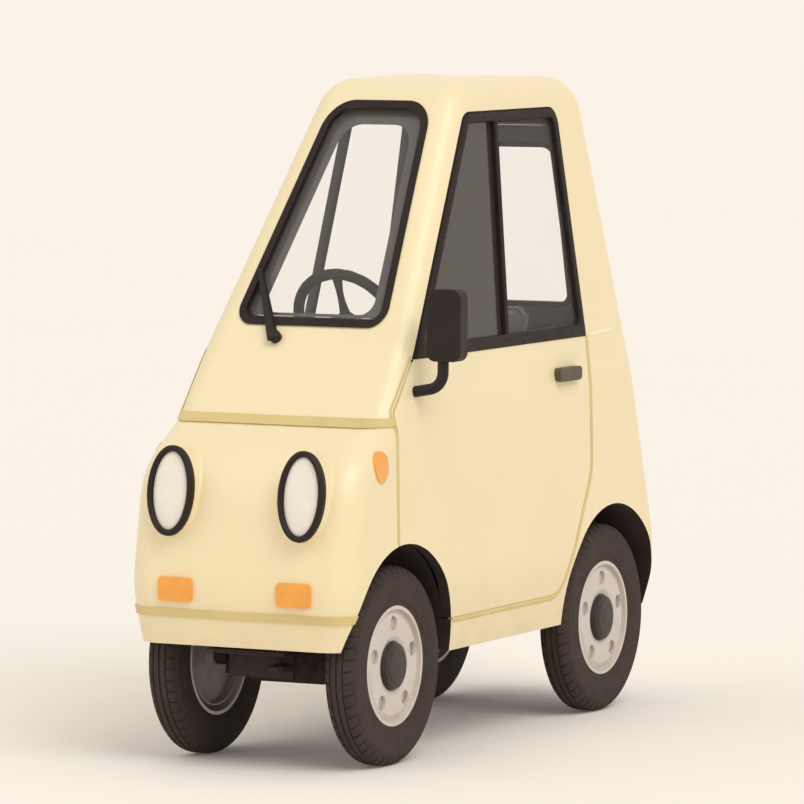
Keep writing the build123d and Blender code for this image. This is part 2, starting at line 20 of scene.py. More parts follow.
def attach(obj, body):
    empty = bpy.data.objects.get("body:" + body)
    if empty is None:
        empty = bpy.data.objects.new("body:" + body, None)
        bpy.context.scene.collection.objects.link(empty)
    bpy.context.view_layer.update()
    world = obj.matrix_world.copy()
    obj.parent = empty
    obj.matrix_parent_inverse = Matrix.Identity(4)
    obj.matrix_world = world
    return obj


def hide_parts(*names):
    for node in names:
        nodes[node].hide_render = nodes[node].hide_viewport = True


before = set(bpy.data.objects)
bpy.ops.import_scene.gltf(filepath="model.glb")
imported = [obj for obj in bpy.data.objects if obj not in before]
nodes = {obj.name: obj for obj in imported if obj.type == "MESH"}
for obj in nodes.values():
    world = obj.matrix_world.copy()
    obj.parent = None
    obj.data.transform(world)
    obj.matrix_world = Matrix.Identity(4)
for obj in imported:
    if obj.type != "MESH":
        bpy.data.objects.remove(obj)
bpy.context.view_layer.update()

# %% [markdown]
# ## The camera
#
# The car is seen from its front left corner, from a little above the bonnet
# and from far away, so that its upright lines stay nearly parallel. A long
# lens on a camera 17 m away gives that. An orthographic camera would also
# keep lines parallel, but it would lose the slight growth of the near wheel.
#
# The model's origin is under the middle of its outline. The single mirror and
# the lamps shift that point a little from the wheels' middle, so the camera
# and every later piece use the car's own middle, written once here.

# %% Camera
car_middle = Vector((-0.0605, -0.01626, 0.0))


def place(x, y, z):
    """A point of the car, measured from its own middle line, in the model's frame."""
    return Vector((x, y, z)) + car_middle


camera_turn = math.radians(27.3)
camera_distance, camera_height = 17.0, 2.25
focal_pixels, picture_pixels, sensor_width = 6212, 804, 36
camera = bpy.data.objects.new("camera", bpy.data.cameras.new("camera"))
bpy.context.scene.collection.objects.link(camera)
camera.location = place(
    camera_distance * math.sin(camera_turn), -camera_distance * math.cos(camera_turn), camera_height
)
aim = place(0.0045, 0.0023, 0.911)
camera.rotation_euler = (aim - camera.location).to_track_quat("-Z", "Y").to_euler()
camera.data.lens = focal_pixels / picture_pixels * sensor_width
camera.data.sensor_width = sensor_width
camera.data.clip_end = 200
bpy.context.scene.camera = camera
print("camera lens:", round(camera.data.lens, 1), "mm")

# %% [markdown]
# ## Node materials in a few words
#
# A real finish is never one flat colour. Paint has a faint orange-peel skin,
# rubber is dusty, cast metal is blotchy. All finishes here share one recipe:
# a large soft noise shifts the colour a little, a second noise shifts the
# roughness, and a fine noise is pressed into the surface as bump. The numbers
# differ from finish to finish. The recipe reads the piece's own coordinates,
# so that a pattern sits still on the piece when a door or a wheel turns.
#
# The recipe's values that are the same all over the surface, such as sheen or
# coat, are typed into the shader's own sockets.

# %% The shared finish recipe
def linear(code):
    """A colour written as six hex digits, turned into the linear numbers that a shader takes."""
    parts = [int(code[i : i + 2], 16) / 255 for i in (0, 2, 4)]
    return [c / 12.92 if c <= 0.04045 else ((c + 0.055) / 1.055) ** 2.4 for c in parts] + [1.0]


def shade(colour, factor):
    """The same colour, lighter or darker."""
    return [min(1.0, c * factor) for c in colour[:3]] + [1.0]


def wire(tree, value, socket):
    """Link a socket to a node's output, or set it to a plain value."""
    if isinstance(value, bpy.types.NodeSocket):
        tree.links.new(value, socket)
    else:
        socket.default_value = value


def add(tree, kind, **inputs):
    """One shader node, with its inputs set or linked by name."""
    made = tree.nodes.new(kind)
    for key, value in inputs.items():
        wire(tree, value, made.inputs[key.replace("_", " ")])
    return made


def combine(tree, operation, first, second):
    """Two values joined by one sum, such as MULTIPLY or MAXIMUM."""
    made = tree.nodes.new("ShaderNodeMath")
    made.operation = operation
    wire(tree, first, made.inputs[0])
    wire(tree, second, made.inputs[1])
    return made.outputs[0]


def mix_colours(tree, share, first, second):
    """A colour that runs from the first to the second as the share grows."""
    made = tree.nodes.new("ShaderNodeMix")
    made.data_type = "RGBA"
    for k, value in ((0, share), (6, first), (7, second)):
        wire(tree, value, made.inputs[k])
    return made.outputs[2]


def spread(tree, value, start, end, low, high):
    """A value that runs from start to end, mapped to run from low to high."""
    made = add(tree, "ShaderNodeMapRange", Value=value, From_Min=start, From_Max=end, To_Min=low, To_Max=high)
    return made.outputs["Result"]


def noise_between(tree, where, scale, low, high, detail=3.0):
    """A soft noise whose grey value is mapped to run between two numbers."""
    cloud = add(tree, "ShaderNodeTexNoise", Vector=where, Scale=scale, Detail=detail)
    return spread(tree, cloud.outputs["Fac"], 0.3, 0.7, low, high)


# %% A finish from the recipe
def finish(name, code, rough, patch, grain, dust=None, **sockets):
    """A material from a colour code.

    rough is the roughness from smoothest to dullest, patch the scale, darkest and lightest factor of the
    colour cloud, grain the scale and strength of the bump, and dust a colour with its two heights and amount.
    """
    material = bpy.data.materials.new(name)
    material.use_nodes = True
    tree = material.node_tree
    shader = tree.nodes["Principled BSDF"]
    here = tree.nodes.new("ShaderNodeTexCoord").outputs["Object"]
    patch_scale, darkest, lightest = patch
    colour = linear(code)
    cloud = noise_between(tree, here, patch_scale, 0.0, 1.0)
    tint = mix_colours(tree, cloud, shade(colour, darkest), shade(colour, lightest))
    if dust:
        dust_colour, low, high, amount = dust
        height = add(tree, "ShaderNodeSeparateXYZ", Vector=here).outputs["Z"]
        settled = spread(tree, height, low, high, amount, 0.0)
        broken = combine(tree, "MULTIPLY", settled, noise_between(tree, here, 14.0, 0.35, 1.0))
        tint = mix_colours(tree, broken, tint, dust_colour)
    wire(tree, tint, shader.inputs["Base Color"])
    wire(tree, noise_between(tree, here, patch_scale * 6, *rough), shader.inputs["Roughness"])
    if grain:
        press = noise_between(tree, here, grain[0], 0.0, 1.0, detail=2.0)
        bump = add(tree, "ShaderNodeBump", Height=press, Strength=grain[1], Distance=0.001)
        wire(tree, bump.outputs[0], shader.inputs["Normal"])
    for key, value in sockets.items():
        shader.inputs[key.replace("_", " ")].default_value = value
    return material


# %% [markdown]
# ## The car's finishes
#
# The body is a warm cream gloss paint, and it gathers a little road dust along
# the sills. The seals, mirror, lamp rims and wiper are nearly black. The two
# nose strips and the door seals are khaki, a painted shade that stands in for
# the shadow in the nose's creases and in the door gaps. Each finish gets its own
# scale of cloud and grain: millimetres for paint skin, centimetres for dust.

# %% Paint, rubber and plastic
road_dust = linear("A8946C")
cream = finish(
    "cream_paint", "F7E5B9", rough=(0.34, 0.42), patch=(2.2, 0.975, 1.01), grain=(700.0, 0.02),
    dust=(road_dust, 0.26, 0.50, 0.22), Coat_Weight=0.25, Coat_Roughness=0.12,
)
# Khaki: painted shade for the creases of the nose and the shut gaps.
khaki = finish("khaki_trim", "DCC585", rough=(0.40, 0.5), patch=(9.0, 0.94, 1.04), grain=(900.0, 0.05))
rubber = finish(
    "black_rubber", "261C1A", rough=(0.5, 0.65), patch=(12.0, 0.85, 1.2), grain=(1400.0, 0.10),
    Specular_IOR_Level=0.22,
)
black_plastic = finish(
    "black_plastic", "261C1A", rough=(0.42, 0.55), patch=(8.0, 0.88, 1.15), grain=(1800.0, 0.12),
    Specular_IOR_Level=0.25,
)
grip_plastic = finish(
    "handle_plastic", "584E3F", rough=(0.38, 0.5), patch=(20.0, 0.92, 1.1), grain=(1500.0, 0.1),
    Specular_IOR_Level=0.3,
)
lining = finish(
    "cabin_lining", "564E4A", rough=(0.75, 0.9), patch=(7.0, 0.9, 1.08), grain=(1100.0, 0.35),
    Sheen_Weight=0.15,
)
dash_plastic = finish(
    "dash_plastic", "4A4340", rough=(0.5, 0.65), patch=(7.0, 0.9, 1.1), grain=(1300.0, 0.30)
)
print("materials so far:", len(bpy.data.materials))

# %% [markdown]
# ## Metal, wheels and underbody
#
# Under a car nothing shines for long. The floor and the tubs carry a matt
# black coating with grey dust, the axles are oiled steel, and the engine is a
# rough casting. The pressed wheels are painted a pale warm grey, and the hub
# caps a dark brown.

# %% Metal and underbody finishes
# This dark colour also goes on the arch edges, as painted shade of the wheel wells.
underbody = finish(
    "underbody_coating_and_arch_shade", "30221F", rough=(0.7, 0.95), patch=(9.0, 0.8, 1.35), grain=(420.0, 0.5)
)
steel = finish(
    "axle_steel", "5A5552", rough=(0.35, 0.6), patch=(18.0, 0.7, 1.2), grain=(600.0, 0.25),
    Metallic=0.85,
)
casting = finish(
    "engine_casting", "55524F", rough=(0.55, 0.8), patch=(14.0, 0.7, 1.2), grain=(350.0, 0.6),
    Metallic=0.5,
)
wheel_paint = finish(
    "wheel_paint", "D5CBC2", rough=(0.38, 0.5), patch=(14.0, 0.93, 1.03), grain=(900.0, 0.05),
    Coat_Weight=0.15,
)
drum_paint = finish("drum_paint", "A39A94", rough=(0.5, 0.7), patch=(16.0, 0.85, 1.08), grain=(500.0, 0.2))
cap_paint = finish(
    "cap_paint", "3A312C", rough=(0.4, 0.5), patch=(18.0, 0.9, 1.12), grain=(900.0, 0.06),
    Specular_IOR_Level=0.3,
)
tyre_rubber = finish(
    "tyre_rubber", "40352F", rough=(0.75, 0.92), patch=(16.0, 0.86, 1.16), grain=(900.0, 0.22),
    Specular_IOR_Level=0.3,
)
print("materials so far:", len(bpy.data.materials))

# %% [markdown]
# ## Lamps and glass
#
# The headlamp lenses are frosted and nearly opaque, so a pale glossy surface
# with some light passing below it reads better than clear glass. The amber and
# red lenses are coloured plastic. Window glass is thin: most light goes
# straight through, so its shader is mostly see-through, with a sharp gloss on
# top. The left door's front pane and the edge of the windscreen are smoked dark:
# that tint is painted shade, standing in for the shaded cabin seen through them.

# %% Lamp and glass finishes
lamp_glass = finish(
    "lamp_lens", "F2EADB", rough=(0.12, 0.2), patch=(20.0, 0.97, 1.02), grain=None, Coat_Weight=0.6
)
amber = finish(
    "amber_lens", "F9A63A", rough=(0.16, 0.24), patch=(24.0, 0.93, 1.05), grain=None, Coat_Weight=0.5
)
red = finish("red_lens", "B3261E", rough=(0.16, 0.24), patch=(24.0, 0.9, 1.08), grain=None, Coat_Weight=0.5)
clear_glass = finish(
    "clear_glass", "EFEBE3", rough=(0.02, 0.05), patch=(3.0, 0.97, 1.02), grain=None, Alpha=0.045
)
# Smoked glass: its dark tint is painted shade of the cabin seen through it.
painted_shade_glass = finish(
    "painted_shade_glass", "3C3532", rough=(0.10, 0.16), patch=(3.0, 0.97, 1.03), grain=None, Alpha=0.95
)
mirror_face = finish(
    "mirror_silver", "D9DCDC", rough=(0.02, 0.05), patch=(5.0, 0.97, 1.0), grain=None, Metallic=1.0
)
# Lighter than the cream paint: a painted highlight for the waist bead.
painted_highlight_cream = finish(
    "painted_highlight_bead", "FBF0CC", rough=(0.30, 0.38), patch=(4.0, 0.98, 1.01), grain=(700.0, 0.02),
    Coat_Weight=0.3,
)
wheel_grip = finish(
    "wheel_grip", "1A1210", rough=(0.6, 0.75), patch=(20.0, 0.85, 1.2), grain=(1600.0, 0.25),
    Specular_IOR_Level=0.15,
)
# Lighter than drum_paint: painted light, to lift the shade in the wheel holes.
drum_face = finish(
    "drum_face_painted_light", "C4B9B0", rough=(0.5, 0.7), patch=(16.0, 0.92, 1.05), grain=(500.0, 0.15)
)
print("materials so far:", len(bpy.data.materials))

# %% [markdown]
# ## Seat cloth
#
# The seat is covered in a plain grey woven cloth. Two sets of fine waves cross
# each other and press a weave into the surface, and a soft sheen lightens the
# cloth where it turns away, as short fibres do.

# %% Woven cloth
seat_cloth = finish(
    "seat_cloth", "5E5550", rough=(0.8, 0.95), patch=(9.0, 0.9, 1.08), grain=None, Sheen_Weight=0.35
)
weave = seat_cloth.node_tree
spot = weave.nodes.new("ShaderNodeTexCoord").outputs["Object"]
eighth_turn = 0.785
threads = []
for turn in ((0, 0, eighth_turn), (0, eighth_turn, -eighth_turn)):
    mapped = add(weave, "ShaderNodeMapping", Vector=spot, Rotation=turn)
    wave = add(weave, "ShaderNodeTexWave", Vector=mapped.outputs[0], Scale=260.0, Distortion=0.6)
    threads.append(wave.outputs["Fac"])
crossed = combine(weave, "MULTIPLY", *threads)
pressed = add(weave, "ShaderNodeBump", Height=crossed, Strength=0.45, Distance=0.0008)
wire(weave, pressed.outputs[0], weave.nodes["Principled BSDF"].inputs["Normal"])
print("cloth threads crossed:", len(threads))

# %% [markdown]
# ## Finishes on the solids
#
# A solid whose shape is right stays as it is and only takes a finish. A short
# table says which finish goes on which nodes.

# %% Give each solid its finish
def dress(names, material):
    """Put one material on several solids."""
    for name in names.split():
        nodes[name].data.materials.clear()
        nodes[name].data.materials.append(material)


panels = (
    "nose_panel roof_shell side_panel_left side_panel_right rear_panel "
    "tailgate_panel door_panel_left door_panel_right"
)
dress(panels, cream)
# The khaki of the nose strips is painted shade of the nose's creases.
dress("nose_strips", khaki)
dress("windscreen_seal rear_window_seal window_frame_left window_frame_right", rubber)
dress("door_mirror wiper headlamp_bezels steering_wheel", black_plastic)
dress("door_handle_left door_handle_right", grip_plastic)
dress("windscreen_glass rear_window_glass door_glass_left door_glass_right", clear_glass)
dress("headlamp_lenses", lamp_glass)
dress("amber_lamps", amber)
dress("tail_lamps", red)
dress("floor_pan wheel_tubs", underbody)
dress("front_axle rear_axle knuckle_left knuckle_right", steel)
dress("engine_block", casting)
dress("dashboard steering_column seat_base", dash_plastic)
dress("seat_cushion seat_back", lining)
ends = [f"{end}_{side}" for end in ("front", "rear") for side in ("left", "right")]
dress(" ".join("wheel_" + end for end in ends), wheel_paint)
dress(" ".join("tyre_" + end for end in ends), tyre_rubber)
print("dressed solids:", sum(len(node.data.materials) == 1 for node in nodes.values()))

# %% [markdown]
# ## Lining on the inside of the panels
#
# The panels are painted outside and lined with grey inside. They are one solid
# each, so the faces that look into the cabin get a second material. A face
# looks inwards when its normal points back to the middle of the cabin.

# %% Line the cabin
cabin_middle = place(0, 0.10, 1.0)
faces_in = -0.15
lined = 0
for name in panels.split():
    mesh = nodes[name].data
    mesh.materials.append(lining)
    for face in mesh.polygons:
        outward = (face.center - cabin_middle).normalized()
        if face.normal.dot(outward) < faces_in:
            face.material_index = 1
            lined += 1
print("lined faces:", lined)

# %% [markdown]
# ## Making a mesh from points
#
# Most pieces below are made the same way: a list of points, a list of faces
# that join them, one finish, and the body they ride on. One helper does that,
# so each cell can stay about the piece itself. Points are given from the car's
# own middle line.
#
# Three more helpers join points into a grid of faces, turn a profile round an
# axis as a lathe does, and make mirror pairs, because nearly all of the trim
# comes in a left and a right one.

# %% Helpers for new pieces
def add_piece(name, points, faces, material, body, smooth=35.0):
    """A new piece from points and faces, with one finish, riding on a body."""
    mesh = bpy.data.meshes.new(name)
    mesh.from_pydata([tuple(p) for p in points], [], faces)
    shape = bmesh.new()
    shape.from_mesh(mesh)
    bmesh.ops.remove_doubles(shape, verts=shape.verts, dist=1e-6)
    bmesh.ops.recalc_face_normals(shape, faces=shape.faces)
    shape.to_mesh(mesh)
    shape.free()
    mesh.materials.append(material)
    mesh.shade_smooth()
    mesh.set_sharp_from_angle(angle=math.radians(smooth))
    made = bpy.data.objects.new(name, mesh)
    bpy.context.scene.collection.objects.link(made)
    made.location = car_middle
    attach(made, body)
    return made


def grid_faces(rows, columns, close_rows=False, close_columns=False):
    """The faces of a grid of points, row after row. Either way round may close into a ring."""
    faces = []
    for r in range(rows if close_rows else rows - 1):
        for c in range(columns if close_columns else columns - 1):
            r2, c2 = (r + 1) % rows, (c + 1) % columns
            faces.append((r * columns + c, r * columns + c2, r2 * columns + c2, r2 * columns + c))
    return faces


def whole_turn(count):
    """The angles of one full turn in even steps."""
    return [2 * math.pi * k / count for k in range(count)]


def turned(centre, first, second, axis, profile, count):
    """Points turned round an axis, row after row, from a profile of (radius, height) pairs."""
    points = []
    for turn in whole_turn(count):
        way = first * math.cos(turn) + second * math.sin(turn)
        points += [centre + way * radius + axis * height for radius, height in profile]
    return points


def flip(points):
    """The same points on the other side of the car."""
    return [(-x, y, z) for x, y, z in points]


def add_pair(name, points, faces, material):
    """A piece on the left of the body and its mirror image on the right."""
    for side, shape in (("left", points), ("right", flip(points))):
        made = add_piece(f"{name}_{side}", shape, faces, material, "body", 50)


across_car, along_car, up = Vector((1, 0, 0)), Vector((0, 1, 0)), Vector((0, 0, 1))
print("helpers ready, faces of a 2 x 3 grid:", len(grid_faces(2, 3)))

# %% [markdown]
# ## Tyres
#
# A tyre is a ring: one section, swept round the axle. The section has the bead
# at the rim, a bulging wall with two thin raised lines, a round shoulder and a
# flat tread. The tread's blocks can't come from a texture, because they show
# against the light at the tyre's edge. So the ring is built in short steps, and
# in each step the points of the tread are pulled in where a groove runs.
#
# Every point of the section has a kind: 0 is plain, 1 is pulled in only where a
# cross groove runs, and 2 lies in a groove all the way round. All four tyres
# share one form. The right-hand ones are turned round, so that the same wall
# faces outwards on both sides.

# %% Places of the wheels
wheel_x, front_y, rear_y = 0.265, -0.615, 0.665
tyre_radius, half_width = 0.265, 0.045
wheel_at = {}
for name in ends:
    side = 1 if name.endswith("left") else -1
    wheel_at[name] = (side * wheel_x, front_y if name.startswith("front") else rear_y, side)
print("wheels at:", wheel_at)

# %% Tyres
groove_depth, groove_slant, rib_half = 0.0045, 0.35, 0.0165
half_section = [
    (0.0371, 0.1600, 0), (0.0375, 0.1660, 0), (0.0400, 0.1735, 0), (0.0413, 0.1745, 0),
    (0.0418, 0.1775, 0), (0.0412, 0.1790, 0), (0.0432, 0.1950, 0), (0.0444, 0.2100, 0),
    (0.0449, 0.2200, 0), (0.0448, 0.2300, 0), (0.0446, 0.2345, 0), (0.0449, 0.2352, 0),
    (0.0448, 0.2372, 0), (0.0436, 0.2386, 0), (0.0418, 0.2440, 0), (0.0388, 0.2500, 1),
    (0.0352, 0.2560, 1), (0.0305, 0.2605, 1), (0.0250, 0.2632, 1), (0.0200, 0.2643, 1),
    (0.0188, 0.2644, 2), (0.0172, 0.2645, 2), (0.0160, 0.2646, 1), (0.0090, 0.2649, 1),
    (0.0030, 0.2650, 1), (0.0016, 0.2650, 2),
]
section = half_section + [(-x, r, kind) for x, r, kind in reversed(half_section)]
pitch_steps = [(0.00, 1), (0.02, 0), (0.15, 0), (0.17, 1), (0.42, 1), (0.70, 1)]
pitches = 52
points = []
for n in range(pitches):
    for share, is_block in pitch_steps:
        for x, radius, kind in section:
            slant = groove_slant * abs(x) / half_width
            turn = 2 * math.pi * (n + share + slant) / pitches
            crossed_here = kind == 1 and not is_block and abs(x) > rib_half
            reach = radius - (groove_depth if kind == 2 or crossed_here else 0.0)
            points.append((x, reach * math.sin(turn), reach * math.cos(turn)))
faces = grid_faces(pitches * len(pitch_steps), len(section), close_rows=True)

for name, (x, y, side) in wheel_at.items():
    here = [(x + side * px, y + side * py, tyre_radius + pz) for px, py, pz in points]
    tyre = add_piece("tread_tyre_" + name, here, faces, tyre_rubber, "wheel_" + name, smooth=28)
    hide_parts("tyre_" + name)
print("tyre faces:", len(faces))

# %% [markdown]
# ## Wheels
#
# The wheel solids already have the right shape: a pressed disc with five round
# holes, a brake drum behind it and a domed cap. They need three paints. Each
# face is sorted by how far it is from the axle and by how far out it sits.

# %% Paint the wheels
cap_edge, cap_foot, drum_edge = 0.066, 0.0265, 0.137
for name, (x, y, side) in wheel_at.items():
    mesh = nodes["wheel_" + name].data
    mesh.materials.append(cap_paint)
    mesh.materials.append(drum_paint)
    middle = place(x, y, tyre_radius)
    for face in mesh.polygons:
        out = (face.center.x - middle.x) * side
        radius = math.hypot(face.center.y - middle.y, face.center.z - middle.z)
        if radius < cap_edge and out > cap_foot:
            face.material_index = 1
        elif radius < drum_edge and out < 0.0:
            face.material_index = 2
print("wheels painted:", len(wheel_at))

# %% [markdown]
# ## Brake drum faces
#
# The five round holes of a pressed wheel show the painted face of the brake
# drum close behind it. Its paint is lighter than the drum's own grey: painted
# light, to lift the shade down in the holes. It is a thin dished ring, turned
# round the axle, and it turns with the wheel.

# %% Drum faces behind the holes
drum_section = [
    (0.0860, 0.0240), (0.1220, 0.0240), (0.1340, 0.0185), (0.1340, 0.0175), (0.1220, 0.0230), (0.0860, 0.0230)
]
drum_steps = 60
for name, (x, y, side) in wheel_at.items():
    points = turned(Vector((x, y, tyre_radius)), up, along_car, across_car * side, drum_section, drum_steps)
    faces = grid_faces(drum_steps, len(drum_section), close_rows=True, close_columns=True)
    made = add_piece("drum_face_" + name, points, faces, drum_face, "wheel_" + name)
print("drum faces:", len(wheel_at))

# %% [markdown]
# ## Dark edges of the wheel arches, painted shade
#
# The body's wall is thick, and its cut edge in each arch takes the tub's dark
# finish: painted shade, standing in for the shadow inside the wheel well. Those
# faces are the ones that lie on the arch's cylinder and don't look sideways, so
# their distance from the arch's axis finds them. Below the axis an arch runs
# straight down, and there the distance along the car is taken.

# %% Paint shade on the arch edges
arch_z, arch_radius = 0.295, 0.295
near_arch, looks_along = 0.004, 0.4
shaded = 0
for name in panels.split():
    mesh = nodes[name].data
    mesh.materials.append(underbody)
    last = len(mesh.materials) - 1
    for face in mesh.polygons:
        here = face.center - car_middle
        for axle_y in (front_y, rear_y):
            reach = math.hypot(here.y - axle_y, here.z - arch_z)
            if here.z < arch_z:
                reach = abs(here.y - axle_y)
            # These arch faces get the dark finish as painted shade of the wheel well.
            if abs(reach - arch_radius) < near_arch and abs(face.normal.x) < looks_along:
                face.material_index = last
                shaded += 1
print("arch faces coated:", shaded)

# %% [markdown]
# ## Outlines with round corners
#
# Windows, seals and the tailgate all follow the same kind of line: straight
# runs with round corners. Two helpers draw it. One makes an open line with even
# steps. The other makes a closed loop that has the same number of points for
# any size, so that an outer and an inner loop can be joined into a band. The
# lines are drawn flat, in a side view or a front view, and each view has its
# own way back to a point in space.

# %% Lines and loops
sharpest, arc_density = 0.002, 1.6


def round_corners(corners, step=0.012):
    """Points along an open line whose corners (u, v, radius) are rounded."""
    line = [Vector(corners[0][:2])]
    for before, corner, after in zip(corners, corners[1:], corners[2:]):
        a, b, c = Vector(before[:2]), Vector(corner[:2]), Vector(after[:2])
        into, out = (a - b).normalized(), (c - b).normalized()
        count = max(3, int(arc_density * corner[2] / step))
        line += corner_arc(b, into, out, corner[2], count) if corner[2] else [b]
    line.append(Vector(corners[-1][:2]))
    even = [line[0]]
    for a, b in zip(line, line[1:]):
        count = max(1, int((b - a).length / step))
        even += [a.lerp(b, (k + 1) / count) for k in range(count)]
    return even


def corner_arc(corner, into, out, radius, count):
    """Points on the round of one corner. into and out point away from it along its two sides."""
    half = into.angle(out) / 2
    centre = corner + (into + out).normalized() * radius / math.sin(half)
    first = corner + into * radius / math.tan(half) - centre
    last = corner + out * radius / math.tan(half) - centre
    turn = math.atan2(first.x * last.y - first.y * last.x, first.dot(last))
    points = []
    for k in range(count + 1):
        c, s = math.cos(turn * k / count), math.sin(turn * k / count)
        points.append(centre + Vector((first.x * c - first.y * s, first.x * s + first.y * c)))
    return points


def round_loop(corners, per_corner=8, per_run=8):
    """A closed loop through round corners (u, v, radius), with a fixed number of points."""
    arcs = []
    for k, corner in enumerate(corners):
        b = Vector(corner[:2])
        into = (Vector(corners[k - 1][:2]) - b).normalized()
        out = (Vector(corners[(k + 1) % len(corners)][:2]) - b).normalized()
        arcs.append(corner_arc(b, into, out, max(corner[2], sharpest), per_corner))
    loop = []
    for k, arc in enumerate(arcs):
        loop += arc
        start, end = arc[-1], arcs[(k + 1) % len(arcs)][0]
        loop += [start.lerp(end, n / per_run) for n in range(1, per_run)]
    return loop


# %% Loops moved inwards, and bands
least_round = 0.006


def inset_corners(corners, insets):
    """The corners moved inwards. One inset for each side, the first side leaving the first corner."""
    count = len(corners)
    following = corners[1:] + corners[:1]
    area = sum(here[0] * after[1] - after[0] * here[1] for here, after in zip(corners, following))
    lines = []
    for k in range(count):
        a, b = Vector(corners[k][:2]), Vector(following[k][:2])
        along = (b - a).normalized()
        inward = Vector((-along.y, along.x)) * (1 if area > 0 else -1)
        lines.append((a + inward * insets[k], along))
    moved = []
    for k in range(count):
        (a, u), (b, v) = lines[k - 1], lines[k]
        cross = u.x * v.y - u.y * v.x
        share = ((b - a).x * v.y - (b - a).y * v.x) / cross
        point = a + u * share
        smaller = min(insets[k - 1], insets[k])
        moved.append((point.x, point.y, max(corners[k][2] - smaller, least_round)))
    return moved


def on_side(y, z, x):
    """A point of the side view at a reach x."""
    return (x, y, z)


def on_front(x, z, y):
    """A point of the front or rear view at a depth y."""
    return (x, y, z)


def band(outer, inner, section, level, to_point):
    """A ring between two loops. section gives (share across, height) and level the skin under a point."""
    points = []
    for a, b in zip(outer, inner):
        for share, height in section:
            spot = a.lerp(b, share)
            points.append(to_point(spot.x, spot.y, level(spot.x, spot.y) + height))
    return points, grid_faces(len(outer), len(section), close_rows=True, close_columns=True)


# %% [markdown]
# ## Rays at the skin
#
# A trim piece has to follow the curved skin under it. A ray is shot at the car
# from outside for each point, and its hit gives the depth there.

# %% Shoot rays at the panels
def skin_tree(names):
    """The skins of several panels, ready to be hit by rays."""
    corners, polygons = [], []
    for name in names.split():
        mesh = nodes[name].data
        start = len(corners)
        corners += [v.co - car_middle for v in mesh.vertices]
        polygons += [[start + i for i in face.vertices] for face in mesh.polygons]
    return BVHTree.FromPolygons(corners, polygons)


left_skin = skin_tree("door_panel_left side_panel_left nose_panel roof_shell")
rear_skin = skin_tree("tailgate_panel rear_panel side_panel_left side_panel_right roof_shell")
nose_skin = skin_tree("nose_panel")
screen_skin = skin_tree("windscreen_glass")
frame_skin = skin_tree("window_frame_left")


def hit_at(skin, start, way):
    """Where a ray meets a skin, or None."""
    return skin.ray_cast(Vector(start), Vector(way))[0]


def side_x(y, z):
    """How far out the left skin is at a point of the side view."""
    hit = hit_at(left_skin, (1.0, y, z), (-1, 0, 0))
    return hit.x if hit else None


def rear_depth(x, z):
    """How far back the rear skin is at a point of the rear view."""
    hit = hit_at(rear_skin, (x, 2.0, z), (0, -1, 0))
    return hit.y if hit else None


behind_door, low_z, high_z = 0.56, 1.20, 1.60
low_x, high_x = side_x(behind_door, low_z), side_x(behind_door, high_z)
lean_in = (low_x - high_x) / (high_z - low_z)
print("side of the cabin leans in:", round(math.degrees(math.atan(lean_in)), 1), "degrees")

# %% [markdown]
# ## Door windows
#
# Each door has a thick black rubber frame and two panes, with an upright bar
# between them that leans back a little. The left door's front pane is smoked
# dark as painted shade, standing in for the shaded cabin seen through it, and
# the other three are clear. Above the waist the side of the cabin is nearly
# flat, so the frame is drawn in the side view and laid on the door's own solid
# frame, which rays find. Its section is a shallow crown with rolled edges,
# because a flat strip catches no light along its rim.

# %% Shape of the door windows
waist, window_top = 1.072, 1.706
window = [
    (-0.530, waist, 0.004), (-0.058, window_top, 0.045), (0.500, window_top, 0.045), (0.510, waist, 0.004)
]
frame_band, frame_sill, opening_round = 0.024, 0.034, 0.020
bar_low, bar_high, bar_half, bar_rows = 0.022, 0.122, 0.011, 9
window_middle, pull_step, pulls = Vector((0.10, 1.36)), 0.006, 16
pillar_x, frame_sink = 0.15, 0.004


def cabin_side(y, z):
    """The flat side of the cabin above the waist."""
    return low_x - (z - low_z) * lean_in


def frame_side(y, z):
    """The skin under the window frame. A point beside the solid frame is pulled in until a ray meets it."""
    for pull in range(pulls):
        here = Vector((y, z)).lerp(window_middle, pull_step * pull)
        hit = hit_at(frame_skin, (1.0, here.x, here.y), (-1, 0, 0))
        if hit and hit.x > pillar_x:
            return hit.x - frame_sink + (here.y - z) * lean_in
    return cabin_side(y, z)


def bar_y(z):
    """The middle of the upright bar at a height."""
    return bar_low + (bar_high - bar_low) * (z - waist) / (window_top - waist)


opening = inset_corners(window, [frame_band, frame_band, frame_band, frame_sill])
opening = [(y, z, max(r, opening_round)) for y, z, r in opening]
print("window opening corners:", [(round(y, 3), round(z, 3)) for y, z, _ in opening])

# %% Window frame with its bar
crown = [
    (-0.17, -0.020), (-0.17, -0.0028), (0.0, -0.0016), (0.0, 0.0016), (0.05, 0.0032), (0.25, 0.0040),
    (0.70, 0.0040), (0.92, 0.0030), (1.0, 0.0008), (1.0, -0.016), (0.9, -0.024), (0.1, -0.024),
]
ring, ring_faces = band(round_loop(window, 8, 16), round_loop(opening, 8, 16), crown, frame_side, on_side)
bar_overlap = 0.004
sill_z, head_z = waist + frame_sill - bar_overlap, window_top - frame_band + bar_overlap
bar_section = [
    (-1, -0.022), (-1, 0.0006), (-0.7, 0.0026), (0, 0.0036), (0.7, 0.0026), (1, 0.0006), (1, -0.022)
]
bar = []
for k in range(bar_rows):
    z = sill_z + (head_z - sill_z) * k / (bar_rows - 1)
    bar += [(cabin_side(0, z) + h, bar_y(z) + side * bar_half, z) for side, h in bar_section]
bar_faces = grid_faces(bar_rows, len(bar_section), close_columns=True)
bar_faces += [tuple(range(len(bar_section))), tuple(len(bar) - 1 - k for k in range(len(bar_section)))]
frame_points = ring + bar
frame_faces = ring_faces + [tuple(len(ring) + i for i in face) for face in bar_faces]
print("window frame faces:", len(frame_faces))

